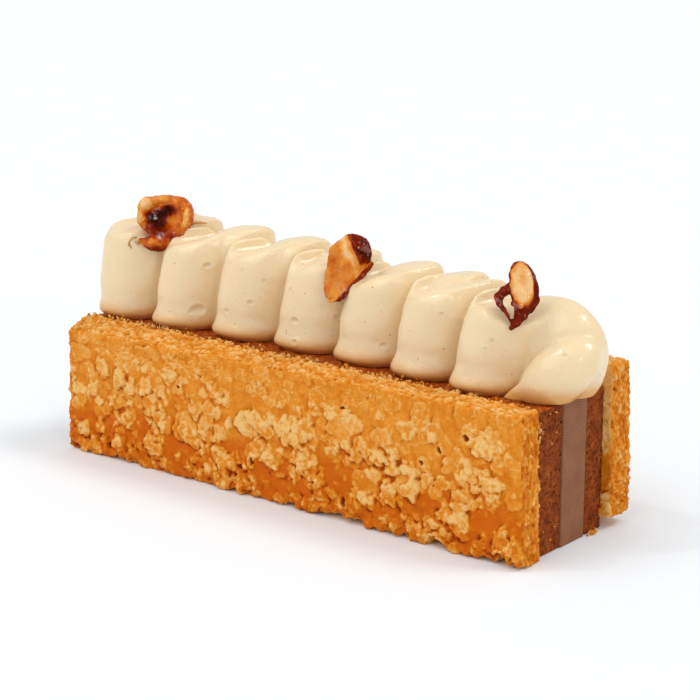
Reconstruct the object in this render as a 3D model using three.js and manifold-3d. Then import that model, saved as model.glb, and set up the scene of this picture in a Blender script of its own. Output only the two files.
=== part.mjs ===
// A mille feuille slice: a bar of five layers that stand on edge, topped with a piped wave of
// nut cream and three pieces of caramelised hazelnut.
//
// Units are millimetres and +Z is up. X runs along the bar and Y across its layers, from the front
// pastry at -Y to the back pastry at +Y. The origin is on the ganache's flat base, at the middle of
// the bar's length and width.

import * as THREE from "three";
import { mergeVertices } from "three/addons/utils/BufferGeometryUtils.js";
import { ImprovedNoise } from "three/addons/math/ImprovedNoise.js";
import Module from "manifold-3d";

const wasm = await Module();
wasm.setup();

const { smoothstep, lerp, degToRad } = THREE.MathUtils;
const noise = new ImprovedNoise();

// ---- Driving dimensions ------------------------------------------------------------------------

const LENGTH = 120; // the bar, along X
const FRONT_PASTRY = 6.1; // thickness of each layer, along Y
const FRONT_BISCUIT = 8.6;
const GANACHE = 8.5;
const BACK_BISCUIT = 6.4;
const BACK_PASTRY = 6.7;
const WIDTH = FRONT_PASTRY + FRONT_BISCUIT + GANACHE + BACK_BISCUIT + BACK_PASTRY;
const LAYER_GAP = 0.1; // clear space between two neighbours

const FRONT_HEIGHT = 29.9; // heights above the base
const FILLING_HEIGHT = 29.3;
const BACK_HEIGHT = 33.4;
const BACK_OVERHANG = 2.1; // the back pastry runs past the right end by this much
const FRONT_EDGE_DROP = 2.5; // the front pastry's outer top edge is worn down at its left end
const FOOT_FLARE = 0.9; // the pastry's ends spread outwards at the base
const BACK_CORNER_CHIP = 2.4; // height of the chip under the back pastry's right end

const CRAG_STEP = 2.2; // spacing of the points that carry the pastry's flakes
const FLAKE_RELIEF = 0.55; // how far a flake stands out of the pastry's broad face
const EDGE_RELIEF = 0.35;
const SPARE = 1; // a layer is made this much too thick and then cut flat

const STROKES = 7; // front lobes of the piped wave
const FIRST_STROKE = -55.3; // place of the first lobe along X
const STROKE_PITCH = 17.8; // spacing of the lobes at the left end
const STROKE_CLOSING = 0.22; // how much nearer each lobe lies to the one before
const CREAM_BASE = FILLING_HEIGHT + LAYER_GAP;
const CREAM_HEIGHT = 21.5; // from the base to the middle of the first lobe's top
const CREAM_ROOT = 6; // a swelling goes this far below the base before it is cut level
const NUT_CLEARANCE = 0.3; // the cream stays this far from a nut that is pressed into it

// ---- Solids and meshes -------------------------------------------------------------------------

function toSolid(geometry) {
  const bare = new THREE.BufferGeometry();
  bare.setAttribute("position", geometry.getAttribute("position").clone());
  if (geometry.index) bare.setIndex(geometry.index.clone());
  const merged = mergeVertices(bare, 1e-4);
  const mesh = new wasm.Mesh({
    numProp: 3,
    vertProperties: Float32Array.from(merged.getAttribute("position").array),
    triVerts: Uint32Array.from(merged.index.array),
  });
  return new wasm.Manifold(mesh);
}

function toGeometry(solid) {
  const { vertProperties, triVerts } = solid.getMesh();
  const geometry = new THREE.BufferGeometry();
  geometry.setAttribute("position", new THREE.BufferAttribute(vertProperties, 3));
  geometry.setIndex(new THREE.BufferAttribute(triVerts, 1));
  geometry.computeVertexNormals();
  return geometry;
}

function ellipsoid(radii, centre, across = 14, down = 9) {
  const geometry = new THREE.SphereGeometry(1, across, down);
  geometry.scale(...radii);
  geometry.translate(...centre);
  return geometry;
}

function unite(solids) {
  return solids.reduce((whole, solid) => whole.add(solid));
}

function block(low, high) {
  const geometry = new THREE.BoxGeometry(high[0] - low[0], high[1] - low[1], high[2] - low[2]);
  geometry.translate((low[0] + high[0]) / 2, (low[1] + high[1]) / 2, (low[2] + high[2]) / 2);
  return toSolid(geometry);
}

// Moves every point of a geometry by a function that edits the point in place.
function reshape(geometry, edit) {
  const position = geometry.getAttribute("position");
  const point = new THREE.Vector3();
  for (let i = 0; i < position.count; i += 1) {
    point.fromBufferAttribute(position, i);
    edit(point);
    position.setXYZ(i, point.x, point.y, point.z);
  }
  return geometry;
}

function bump(value, centre, spread) {
  return Math.exp(-(((value - centre) / spread) ** 2));
}

function signedPower(value, exponent) {
  return Math.sign(value) * Math.abs(value) ** exponent;
}

// ---- Pastry and filling ------------------------------------------------------------------------

// Height of the flakes over a broad face: plates with a clear edge over a slower swell.
function flakes(x, z, seed) {
  const plate = smoothstep(noise.noise(x / 4.6, z / 3.6, seed), -0.12, 0.12);
  const swell = noise.noise(x / 11, z / 8, seed + 9);
  return FLAKE_RELIEF * (plate - 0.6) + 0.5 * FLAKE_RELIEF * swell;
}

// Cuts a solid to the stretch between two planes across the bar, which leaves it flat there.
function trimAcross(geometry, low, high) {
  return toSolid(geometry).intersect(block([-90, low, -5], [90, high, 60]));
}

// One standing slab of pastry. outward is -1 for the front slab and 1 for the back one.
function pastrySlab({ left, right, inner, thickness, height, outward, seed, edgeDrop, chip }) {
  const length = right - left;
  const geometry = new THREE.BoxGeometry(
    length,
    thickness + SPARE,
    height,
    Math.round(length / CRAG_STEP),
    2,
    Math.round(height / CRAG_STEP),
  );
  geometry.translate((left + right) / 2, 0, height / 2);
  reshape(geometry, (point) => {
    const { x, z } = point;
    const depth = 0.5 + (outward * point.y) / (thickness + SPARE); // 0 inside, 1 on the outer face
    const along = (x - left) / length;
    const up = z / height;
    const onEnd = along < 1e-4 ? -1 : along > 1 - 1e-4 ? 1 : 0;
    if (depth > 0.999) point.y += outward * flakes(x, z, seed);
    if (onEnd !== 0) {
      point.x += onEnd * EDGE_RELIEF * noise.noise(z / 3, depth * 3, seed + 4);
    }
    point.x += Math.sign(along - 0.5) * FOOT_FLARE * (1 - up) * Math.abs(2 * along - 1) ** 8;
    if (up > 0.999) {
      point.z += EDGE_RELIEF * noise.noise(x / 3.4, depth * 2, seed + 2);
      point.z -= edgeDrop * (1 - along) * depth;
    }
    if (up < 1e-4) {
      point.z += depth > 0.999 ? 1.4 * Math.max(0, noise.noise(x / 4, 0.5, seed + 6)) : 0;
      point.z += chip * smoothstep(x, right - 9, right);
    }
    point.y += inner + (outward * (thickness - SPARE)) / 2;
  });
  return outward < 0 ? trimAcross(geometry, -40, inner) : trimAcross(geometry, inner, 40);
}

// A layer of filling, with its cut ends and top faintly uneven.
function fillingLayer(front, back, relief, seed) {
  const recess = 0.25; // the filling stops short of the pastry's ends
  const length = LENGTH - 2 * recess;
  const depth = back - front + 2 * SPARE;
  const steps = relief > 0 ? [20, 4, 6] : [1, 1, 1];
  const geometry = new THREE.BoxGeometry(length, depth, FILLING_HEIGHT, ...steps);
  geometry.translate(0, (front + back) / 2, FILLING_HEIGHT / 2);
  reshape(geometry, (point) => {
    const { x, y, z } = point;
    const onEnd = Math.abs(x) > length / 2 - 1e-4 ? Math.sign(x) : 0;
    point.x -= onEnd * relief * (0.5 + 0.5 * noise.noise(y / 1.7, z / 1.7, seed));
    if (z > FILLING_HEIGHT - 1e-4) {
      point.z -= relief * (0.5 + 0.5 * noise.noise(x / 1.9, y / 1.9, seed + 3));
    }
  });
  return trimAcross(geometry, front, back);
}

// ---- Piped cream -------------------------------------------------------------------------------

// One swelling of cream: a body with a round plan and a boxy height that stands on the base with a
// small foot, leans to the right as it rises, and is swept to the right towards the back.
function swelling(form) {
  const { x, y, top, halfWidth, front, back, sweep, lean, rise, tilt, foot } = form;
  const middle = lerp(CREAM_BASE - CREAM_ROOT, top, 0.5);
  const halfHeight = top - middle;
  const geometry = new THREE.SphereGeometry(1, 18, 14);
  geometry.rotateX(Math.PI / 2);
  return toSolid(
    reshape(geometry, (point) => {
      const flat = Math.hypot(point.x, point.y);
      const reach = (1 - Math.abs(point.z) ** 3.4) ** 0.45;
      const localX = flat > 1e-6 ? reach * signedPower(point.x / flat, 0.86) : 0;
      const localY = flat > 1e-6 ? reach * signedPower(point.y / flat, 0.86) : 0;
      const z = middle + halfHeight * point.z;
      const ring = foot * (bump(z, CREAM_BASE + 1.6, 1.9) - 0.4 * bump(z, CREAM_BASE + 5, 1.6));
      const px = localX * (halfWidth + ring);
      const py = localY * ((localY < 0 ? front : back) + ring);
      const height = Math.max(0, z - CREAM_BASE);
      const upper = smoothstep(z, CREAM_BASE + 9, top);
      const crest = smoothstep(localX, -0.35, 0.75) * smoothstep(py, -9, 3);
      const lip = bump(localX, -0.9, 0.4) - 0.9 * bump(localX, -0.35, 0.4);
      point.set(
        x + px + sweep * py + lean * height,
        y + py,
        z + upper * (rise * crest + 0.8 * lip * bump(py, -5, 5) + tilt * py),
      );
    }),
  );
}

// Unevenness from lobe to lobe, between -1 and 1.
function uneven(index) {
  return 2 * noise.noise(index * 0.73 + 0.4, 7.9, 5.5);
}

// The strokes close up towards the right end.
function strokeX(index) {
  return FIRST_STROKE + (STROKE_PITCH - STROKE_CLOSING * index) * index;
}

// The wave bows a little: its lobes reach further forward at both ends of the bar.
function bow(index) {
  return 1.3 * Math.cos((2 * Math.PI * index) / 6.5);
}

function frontLobe(index) {
  const last = index === STROKES - 1;
  return swelling({
    x: strokeX(index),
    y: 0,
    top: CREAM_BASE + CREAM_HEIGHT - 0.5 - 0.32 * index,
    halfWidth: 8.7 - 0.16 * index,
    front: 8 + bow(index),
    back: 8.2,
    sweep: 0.34,
    lean: 0.27,
    rise: last ? -0.4 : 2.6,
    tilt: last ? -0.1 : 0.05,
    foot: index === 0 ? 0.2 : 0.6,
  });
}

function backBend(index) {
  return swelling({
    x: strokeX(index) + 6.6,
    y: 3.6,
    top: CREAM_BASE + CREAM_HEIGHT + 0.9 - 0.36 * index,
    halfWidth: 7.8,
    front: 7.5,
    back: 7 + 0.2 * uneven(index),
    sweep: 0.1,
    lean: 0.26,
    rise: 0.4,
    tilt: -0.1,
    foot: 0.5,
  });
}

// The last stroke turns at the back and comes forward as a thick roll over the right end.
function lastBend() {
  return toSolid(ellipsoid([10.8, 7, 11], [53.4, 3.4, CREAM_BASE + 7], 20, 14));
}

function finalRoll() {
  const geometry = ellipsoid([6.8, 10.8, 7.4], [0, 0, 0], 22, 16);
  geometry.rotateX(degToRad(30));
  geometry.translate(57.8, -0.6, CREAM_BASE + 6.8);
  return toSolid(geometry);
}

// The thin tail that the nozzle left, a tapering tongue at the last crease.
function tail() {
  const geometry = ellipsoid([5, 1.3, 2.4], [0, 0, 0], 12, 8);
  geometry.rotateY(degToRad(-34));
  geometry.translate(52.6, -7.2, CREAM_BASE + 2);
  return toSolid(geometry);
}

function pipedCream() {
  const pieces = [lastBend(), finalRoll(), tail()];
  for (let index = 0; index < STROKES; index += 1) {
    pieces.push(frontLobe(index));
    if (index < STROKES - 1) pieces.push(backBend(index));
  }
  const space = block([-90, -30, CREAM_BASE], [90, 30, 90]);
  return unite(pieces).intersect(space);
}

// ---- Caramelised hazelnuts ---------------------------------------------------------------------

// A broken chunk: every face is a plane at a distance from the centre, with rounded edges.
function chunk(faces, sharpness) {
  const geometry = new THREE.IcosahedronGeometry(1, 3);
  return reshape(geometry, (point) => {
    const sum = faces.reduce((total, [nx, ny, nz, distance]) => {
      const along = (point.x * nx + point.y * ny + point.z * nz) / Math.hypot(nx, ny, nz);
      return total + (Math.max(0, along) / distance) ** sharpness;
    }, 0);
    point.multiplyScalar(sum ** (-1 / sharpness));
  });
}

// Half a nut with its hollow filled with caramel, over a lobe that ran down.
function cuppedNut(swell = 0) {
  const grow = (radii) => radii.map((radius) => radius + swell);
  const shell = toSolid(ellipsoid(grow([6.2, 4.4, 5.4]), [0, 0, 0.4]));
  const rim = toSolid(ellipsoid(grow([2.1, 2.6, 4]), [4.7, -1.4, 0.3], 10, 7));
  const run = toSolid(ellipsoid(grow([4.4, 2.6, 3.2]), [-0.6, -1.6, -4.4], 12, 8));
  const nut = unite([shell, rim, run]);
  if (swell > 0) return nut;
  return nut.subtract(toSolid(ellipsoid([4.1, 3.2, 3.9], [-0.8, -4.6, 0.6], 12, 8)));
}

const SHARD_FACES = [
  [-0.45, -0.85, 0.2, 3.2],
  [0.35, -0.9, -0.15, 3],
  [0.8, -0.2, 0.5, 5.1],
  [-0.95, 0, 0.3, 4],
  [0.85, 0.1, -0.5, 3],
  [-0.45, -0.1, -0.9, 7.2],
  [-0.1, 0.2, 1, 7],
  [0, 1, 0, 3],
];

function shardNut(swell = 0) {
  return toSolid(chunk(SHARD_FACES.map(([nx, ny, nz, d]) => [nx, ny, nz, d + swell]), 9));
}

// A pale half kernel, flat at the front and pointed below, with a loop of caramel at its left.
function kernelNut(swell = 0) {
  const halfWidth = 3.5 + swell;
  const thickness = 3 + swell;
  const halfHeight = 6.7 + swell;
  const kernel = new THREE.SphereGeometry(1, 14, 12);
  kernel.rotateX(Math.PI / 2);
  reshape(kernel, (point) => {
    const below = smoothstep(-point.z, -0.1, 1);
    point.set(
      point.x * (1 - 0.45 * below) * halfWidth - 2.6 * below,
      Math.max(point.y, -0.3) * thickness,
      point.z * halfHeight,
    );
  });
  const loop = new THREE.TorusGeometry(2.6, 0.75 + swell, 6, 12);
  loop.scale(1, 1.25, 1);
  loop.rotateX(Math.PI / 2);
  loop.translate(-2.6, 0.6, -2.2);
  return unite([toSolid(kernel), toSolid(loop)]);
}

const NUTS = [
  { name: "nut_left", make: cuppedNut, at: [-44.9, -2.8, 51.2], turn: [-12, 6, 39], colour: 0xb4590f },
  { name: "nut_middle", make: shardNut, at: [7.8, -4.8, 48.3], turn: [-12, 14, 39], colour: 0xc06a18 },
  { name: "nut_right", make: kernelNut, at: [49.7, -4.2, 48.7], turn: [-22, 10, 39], colour: 0xd99a4a },
];

// Turns and places a solid: tilt back about X and sideways about Y, then face round about Z.
function placed(solid, { at, turn }) {
  const [tiltBack, tiltSide, round] = turn.map(degToRad);
  const matrix = new THREE.Matrix4()
    .makeRotationFromEuler(new THREE.Euler(tiltBack, tiltSide, round, "ZYX"))
    .setPosition(...at);
  const geometry = toGeometry(solid).applyMatrix4(matrix);
  return toSolid(geometry);
}

// ---- The whole slice ---------------------------------------------------------------------------

const slice = new THREE.Group();

function addPart(name, geometry, colour, roughness) {
  const material = new THREE.MeshStandardMaterial({ color: colour, roughness, metalness: 0 });
  const mesh = new THREE.Mesh(geometry, material);
  mesh.name = name;
  slice.add(mesh);
}

const frontFace = -WIDTH / 2;
const biscuitFront = frontFace + FRONT_PASTRY;
const ganacheFront = biscuitFront + FRONT_BISCUIT;
const ganacheBack = ganacheFront + GANACHE;
const biscuitBack = ganacheBack + BACK_BISCUIT;
const halfGap = LAYER_GAP / 2;

const frontSlab = pastrySlab({
  left: -LENGTH / 2,
  right: LENGTH / 2,
  inner: biscuitFront - halfGap,
  thickness: FRONT_PASTRY - halfGap,
  height: FRONT_HEIGHT,
  outward: -1,
  seed: 3.3,
  edgeDrop: FRONT_EDGE_DROP,
  chip: 0,
});
const backSlab = pastrySlab({
  left: -LENGTH / 2,
  right: LENGTH / 2 + BACK_OVERHANG - FOOT_FLARE,
  inner: biscuitBack + halfGap,
  thickness: BACK_PASTRY - halfGap,
  height: BACK_HEIGHT,
  outward: 1,
  seed: 17.7,
  edgeDrop: 1,
  chip: BACK_CORNER_CHIP,
});

addPart("pastry_front", toGeometry(frontSlab), 0xd9903f, 0.6);
const frontLayer = fillingLayer(biscuitFront + halfGap, ganacheFront - halfGap, 0.5, 1.1);
const ganacheLayer = fillingLayer(ganacheFront + halfGap, ganacheBack - halfGap, 0, 0);
const backLayer = fillingLayer(ganacheBack + halfGap, biscuitBack - halfGap, 0.5, 6.1);
addPart("biscuit_front", toGeometry(frontLayer), 0x7a4526, 0.85);
addPart("ganache", toGeometry(ganacheLayer), 0x8d6450, 0.5);
addPart("biscuit_back", toGeometry(backLayer), 0x7a4526, 0.85);
addPart("pastry_back", toGeometry(backSlab), 0xcf8a3c, 0.6);

let cream = pipedCream();
for (const nut of NUTS) {
  cream = cream.subtract(placed(nut.make(NUT_CLEARANCE), nut));
}
addPart("cream", toGeometry(cream), 0xecd3ae, 0.45);
for (const nut of NUTS) {
  addPart(nut.name, toGeometry(placed(nut.make(), nut)), nut.colour, 0.2);
}

export default slice;
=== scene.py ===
"""Dresses a mille feuille slice: flaky crust, sponge crumb, ganache, piped cream and caramelised nuts.

The shapes are worked out in millimetres and made in metres. X runs along the bar, the front crust is
at -Y and +Z is up, as in the frame.
"""
import math
from typing import NamedTuple

import bmesh
import bpy
import numpy as np
from bpy.props import FloatProperty, FloatVectorProperty, IntProperty, PointerProperty
from mathutils import Euler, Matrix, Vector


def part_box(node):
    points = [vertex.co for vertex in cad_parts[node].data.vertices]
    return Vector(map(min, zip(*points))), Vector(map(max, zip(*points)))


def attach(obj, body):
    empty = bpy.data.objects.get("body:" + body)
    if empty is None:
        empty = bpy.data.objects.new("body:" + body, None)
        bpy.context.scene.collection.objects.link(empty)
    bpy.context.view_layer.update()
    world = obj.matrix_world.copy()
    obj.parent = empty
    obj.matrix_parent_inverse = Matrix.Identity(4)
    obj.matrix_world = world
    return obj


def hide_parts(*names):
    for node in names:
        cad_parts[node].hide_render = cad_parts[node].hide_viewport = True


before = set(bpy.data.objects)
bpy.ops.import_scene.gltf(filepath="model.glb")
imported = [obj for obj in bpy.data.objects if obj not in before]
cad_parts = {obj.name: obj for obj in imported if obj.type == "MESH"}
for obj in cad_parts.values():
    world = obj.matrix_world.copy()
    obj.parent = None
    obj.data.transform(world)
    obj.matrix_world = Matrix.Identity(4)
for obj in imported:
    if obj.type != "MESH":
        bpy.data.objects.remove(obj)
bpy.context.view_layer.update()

bl_info = {
    "name": "Mille feuille slice",
    "version": (1, 0, 0),
    "blender": (4, 5, 0),
    "location": "3D View > Sidebar > Slice",
    "description": "Makes the crust, fillings, cream and nuts of a mille feuille slice",
    "category": "Object",
}

MM = 0.001


# ---- Numbers and noise ----


def paint(red, green, blue):
    """A colour as a screen shows it, from 0 to 255, turned into Blender's linear one."""
    values = np.array([red, green, blue]) / 255
    linear = np.where(values <= 0.04045, values / 12.92, ((values + 0.055) / 1.055) ** 2.4)
    return (*linear.tolist(), 1.0)


def millimetres(node):
    """The lowest and the highest corner of a node of the frame."""
    low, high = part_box(node)
    return np.array(low) / MM, np.array(high) / MM


def smoothstep(value, low, high):
    """0 up to low, and smoothly up to 1 at high."""
    part = np.clip((value - low) / (high - low), 0, 1)
    return part * part * (3 - 2 * part)


def fade(value, low, high):
    """1 up to low, and smoothly down to 0 at high."""
    return 1 - smoothstep(value, low, high)


def blend(first, second, part):
    return first + (second - first) * part


def bump(value, centre, spread):
    return np.exp(-(((value - centre) / spread) ** 2))


def scramble(x, y, z, seed):
    """Mixes whole numbers into one large number that looks random and is always the same."""
    mixed = x.astype(np.uint32) * np.uint32(73856093)
    mixed ^= y.astype(np.uint32) * np.uint32(19349663)
    mixed ^= z.astype(np.uint32) * np.uint32(83492791)
    mixed ^= np.uint32(seed * 2654435761 % 2**32)
    mixed = (mixed ^ (mixed >> np.uint32(15))) * np.uint32(2246822519)
    mixed = (mixed ^ (mixed >> np.uint32(13))) * np.uint32(3266489917)
    return mixed ^ (mixed >> np.uint32(16))


def lattice(x, y, z):
    """Splits places into the whole cell that each is in and the part of the way across it."""
    places = np.broadcast_arrays(*(np.asarray(value, float) for value in (x, y, z)))
    cell = [np.floor(value).astype(np.int64) for value in places]
    return cell, [value - whole for value, whole in zip(places, cell)]


def noise(x, y, z=0.0, seed=0):
    """Smooth noise, mostly between -1 and 1, with features about one unit across."""
    cell, part = lattice(x, y, z)
    ease = [t * t * t * (t * (t * 6 - 15) + 10) for t in part]
    total = 0.0
    for corner in range(8):
        step = (corner & 1, corner >> 1 & 1, corner >> 2)
        mixed = scramble(cell[0] + step[0], cell[1] + step[1], cell[2] + step[2], seed)
        weight = 1.0
        slope = 0.0
        for axis in range(3):
            turn = (mixed >> np.uint32(10 * axis) & np.uint32(1023)) / 511.5 - 1
            slope = slope + turn * (part[axis] - step[axis])
            weight = weight * (ease[axis] if step[axis] else 1 - ease[axis])
        total = total + weight * slope
    return 1.6 * total


def rough(x, y, z=0.0, seed=0):
    """Noise with two finer layers of noise laid over it."""
    total = 0.0
    for layer in range(3):
        scale = 2.03**layer
        total = total + noise(x * scale, y * scale, np.asarray(z) * scale, seed + layer) / 1.8**layer
    return total


def grains(x, y, z=0.0, seed=0):
    """Distance to the nearest of points scattered one to a unit cell, and that point's own number."""
    cell, part = lattice(x, y, z)
    nearest = np.full(part[0].shape, 9.0)
    own = np.zeros(part[0].shape)
    flat = np.ndim(z) == 0
    for number in range(9 if flat else 27):
        step = (number % 3 - 1, number // 3 % 3 - 1, 0 if flat else number // 9 - 1)
        mixed = scramble(cell[0] + step[0], cell[1] + step[1], cell[2] + step[2], seed)
        square = 0.0
        for axis in range(2 if flat else 3):
            spot = (mixed >> np.uint32(10 * axis) & np.uint32(1023)) / 1023
            square = square + (step[axis] + spot - part[axis]) ** 2
        closer = square < nearest
        nearest = np.where(closer, square, nearest)
        own = np.where(closer, (mixed & np.uint32(65535)) / 65535, own)
    return np.sqrt(nearest), own


# ---- Meshes ----


def box_skin(low, high, cells, plain):
    """A gridded box. Gives its points, the grid place of each point, and its faces.

    Each plain rectangle, (row, last x, last z) in grid lines, starts at the left foot of a side that
    faces along Y and becomes a single face, because nothing of it shows.
    """
    on_skin = np.ones(cells + 1, bool)
    on_skin[1:-1, 1:-1, 1:-1] = False
    for row, last_x, last_z in plain:
        on_skin[1:last_x, row, 1:last_z] = False
    index = np.full(cells + 1, -1)
    index[on_skin] = np.arange(np.count_nonzero(on_skin))
    spots = np.argwhere(on_skin)
    points = low + spots / cells * (high - low)
    faces = []
    for axis in range(3):
        for row in (0, cells[axis]):
            layer = np.take(index, row, axis=axis)
            corners = [layer[:-1, :-1], layer[1:, :-1], layer[1:, 1:], layer[:-1, 1:]]
            quads = np.stack(corners, -1).reshape(-1, 4)
            quads = quads[(quads >= 0).all(1)]
            outward = (row > 0) != (axis == 1)
            faces += (quads if outward else quads[:, ::-1]).tolist()
    for row, last_x, last_z in plain:
        foot, right = index[:last_x, row, 0], index[last_x, row, :last_z]
        top, left = index[last_x:0:-1, row, last_z], index[0, row, last_z:0:-1]
        loop = np.concatenate([foot, right, top, left])
        faces.append((loop if row == 0 else loop[::-1]).tolist())
    return points, spots, faces


def round_edges(points, low, high, radius):
    """Rounds a box's edges. Gives the moved points and the way out of the box at each of them."""
    core = np.clip(points, low + radius, high - radius)
    out = points - core
    out = out / np.linalg.norm(out, axis=1, keepdims=True)
    return core + out * radius, out


def across_side(low, high, cells, axis):
    """The two coordinates of every grid place of a box's side that faces along an axis."""
    lines = [np.linspace(low[n], high[n], cells[n] + 1) for n in range(3) if n != axis]
    return np.meshgrid(*lines, indexing="ij")


def spread_over(out, spots, sheets):
    """Reads grids of three values that each belong to one side of a box, mixed where sides meet."""
    totals = np.zeros((3, len(spots)))
    for (axis, sign), sheet in sheets.items():
        first, second = [spots[:, other] for other in range(3) if other != axis]
        weight = np.where(out[:, axis] * sign > 0, out[:, axis] ** 2, 0)
        for total, values in zip(totals, sheet):
            total += weight * values[first, second]
    return totals


def wrap_field(field, low, step):
    """Wraps the places where a field of distances is below zero in a net of four-sided faces."""
    inside = field < 0
    shape = np.array(field.shape) - 1
    total = np.zeros((shape.prod(), 3))
    count = np.zeros(shape.prod())
    quads = []
    for axis in range(3):
        near = tuple(slice(0, -1) if n == axis else slice(None) for n in range(3))
        far = tuple(slice(1, None) if n == axis else slice(None) for n in range(3))
        spots = np.argwhere(inside[near] != inside[far])
        others = [other for other in range(3) if other != axis]
        spots = spots[((spots[:, others] > 0) & (spots[:, others] < shape[others])).all(1)]
        start = field[near][tuple(spots.T)]
        end = field[far][tuple(spots.T)]
        places = spots.astype(float)
        places[:, axis] += start / (start - end)
        around = []
        for first, second in ((0, 0), (1, 0), (1, 1), (0, 1)):
            cell = spots.copy()
            cell[:, others[0]] -= first
            cell[:, others[1]] -= second
            flat = np.ravel_multi_index(tuple(cell.T), tuple(shape))
            np.add.at(total, flat, places)
            np.add.at(count, flat, 1)
            around.append(flat)
        ring = np.stack(around, 1)
        forward = (start < 0) != (axis == 1)
        quads.append(np.where(forward[:, None], ring, ring[:, ::-1]))
    used = count > 0
    number = np.cumsum(used) - 1
    points = low + step * total[used] / count[used][:, None]
    return points, number[np.concatenate(quads)]


def grid_places(low, high, step):
    """Three arrays with the X, Y and Z of every place of an even grid between two corners."""
    axes = [np.arange(first, last + step, step) for first, last in zip(low, high)]
    return np.meshgrid(*axes, indexing="ij")


def relax(points, faces, rounds):
    """Moves every point of a quad net half of the way to the middle of its neighbours."""
    links = np.concatenate([faces[:, [corner, (corner + 1) % 4]] for corner in range(4)])
    links = np.concatenate([links, links[:, ::-1]])
    weight = np.bincount(links[:, 0], minlength=len(points))[:, None]
    for _ in range(rounds):
        totals = [np.bincount(links[:, 0], points[links[:, 1], axis], len(points)) for axis in range(3)]
        points = blend(points, np.stack(totals, 1) / weight, 0.5)
    return points


def settle(points, field, low, step):
    """Moves points onto the places where a field is zero, read smoothly between its grid places."""
    for _ in range(2):
        spot = (points - low) / step
        cell = np.clip(np.floor(spot).astype(int), 0, np.array(field.shape) - 2)
        part = spot - cell
        value = np.zeros(len(points))
        slope = np.zeros(points.shape)
        for corner in np.ndindex(2, 2, 2):
            weights = np.where(corner, part, 1 - part)
            reading = field[tuple((cell + corner).T)]
            value += reading * weights.prod(1)
            for axis in range(3):
                others = [other for other in range(3) if other != axis]
                slope[:, axis] += (2 * corner[axis] - 1) * reading * weights[:, others].prod(1)
        steep = np.maximum((slope**2).sum(1), 1e-6)
        move = -step * slope * (value / steep)[:, None]
        reach = np.maximum(np.linalg.norm(move, axis=1, keepdims=True) / (0.5 * step), 1)
        points = points + move / reach
    return points


def outward_normals(points, faces):
    """The way out of a net of four-sided faces at each point."""
    first, second, third, fourth = (points[faces[:, corner]] for corner in range(4))
    facing = np.cross(third - first, fourth - second)
    total = np.zeros(points.shape)
    for corner in range(4):
        for axis in range(3):
            total[:, axis] += np.bincount(faces[:, corner], facing[:, axis], len(points))
    return total / np.maximum(np.linalg.norm(total, axis=1, keepdims=True), 1e-9)


def add_piece(name, points, faces, finish, node, marks):
    """Makes one piece in its place, above the floor. It replaces a node of the frame if one is given."""
    points[:, 2] = np.maximum(points[:, 2], 0)
    mesh = bpy.data.meshes.new(name)
    faces = faces if isinstance(faces, list) else faces.tolist()
    mesh.from_pydata((points * MM).tolist(), [], faces)
    mesh.polygons.foreach_set("use_smooth", np.ones(len(mesh.polygons), bool))
    for mark, values in marks.items():
        layer = mesh.attributes.new(mark, "FLOAT", "POINT")
        layer.data.foreach_set("value", np.asarray(values, np.float32))
    mesh.materials.append(finish)
    mesh.update()
    piece = bpy.data.objects.new(name, mesh)
    bpy.context.scene.collection.objects.link(piece)
    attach(piece, "root")
    if node:
        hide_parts(node)
    return piece


# ---- Finishes ----


class Wire:
    """An output of a node, on which sums can be written."""

    def __init__(self, finish, socket):
        self.finish = finish
        self.socket = socket

    def maths(self, operation, first, second):
        return self.finish.node("ShaderNodeMath", {"operation": operation}, {0: first, 1: second})

    def __add__(self, other):
        return self.maths("ADD", self, other)

    def __sub__(self, other):
        return self.maths("SUBTRACT", self, other)

    def __rsub__(self, other):
        return self.maths("SUBTRACT", other, self)

    def __mul__(self, other):
        return self.maths("MULTIPLY", self, other)

    __radd__ = __add__
    __rmul__ = __mul__


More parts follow.
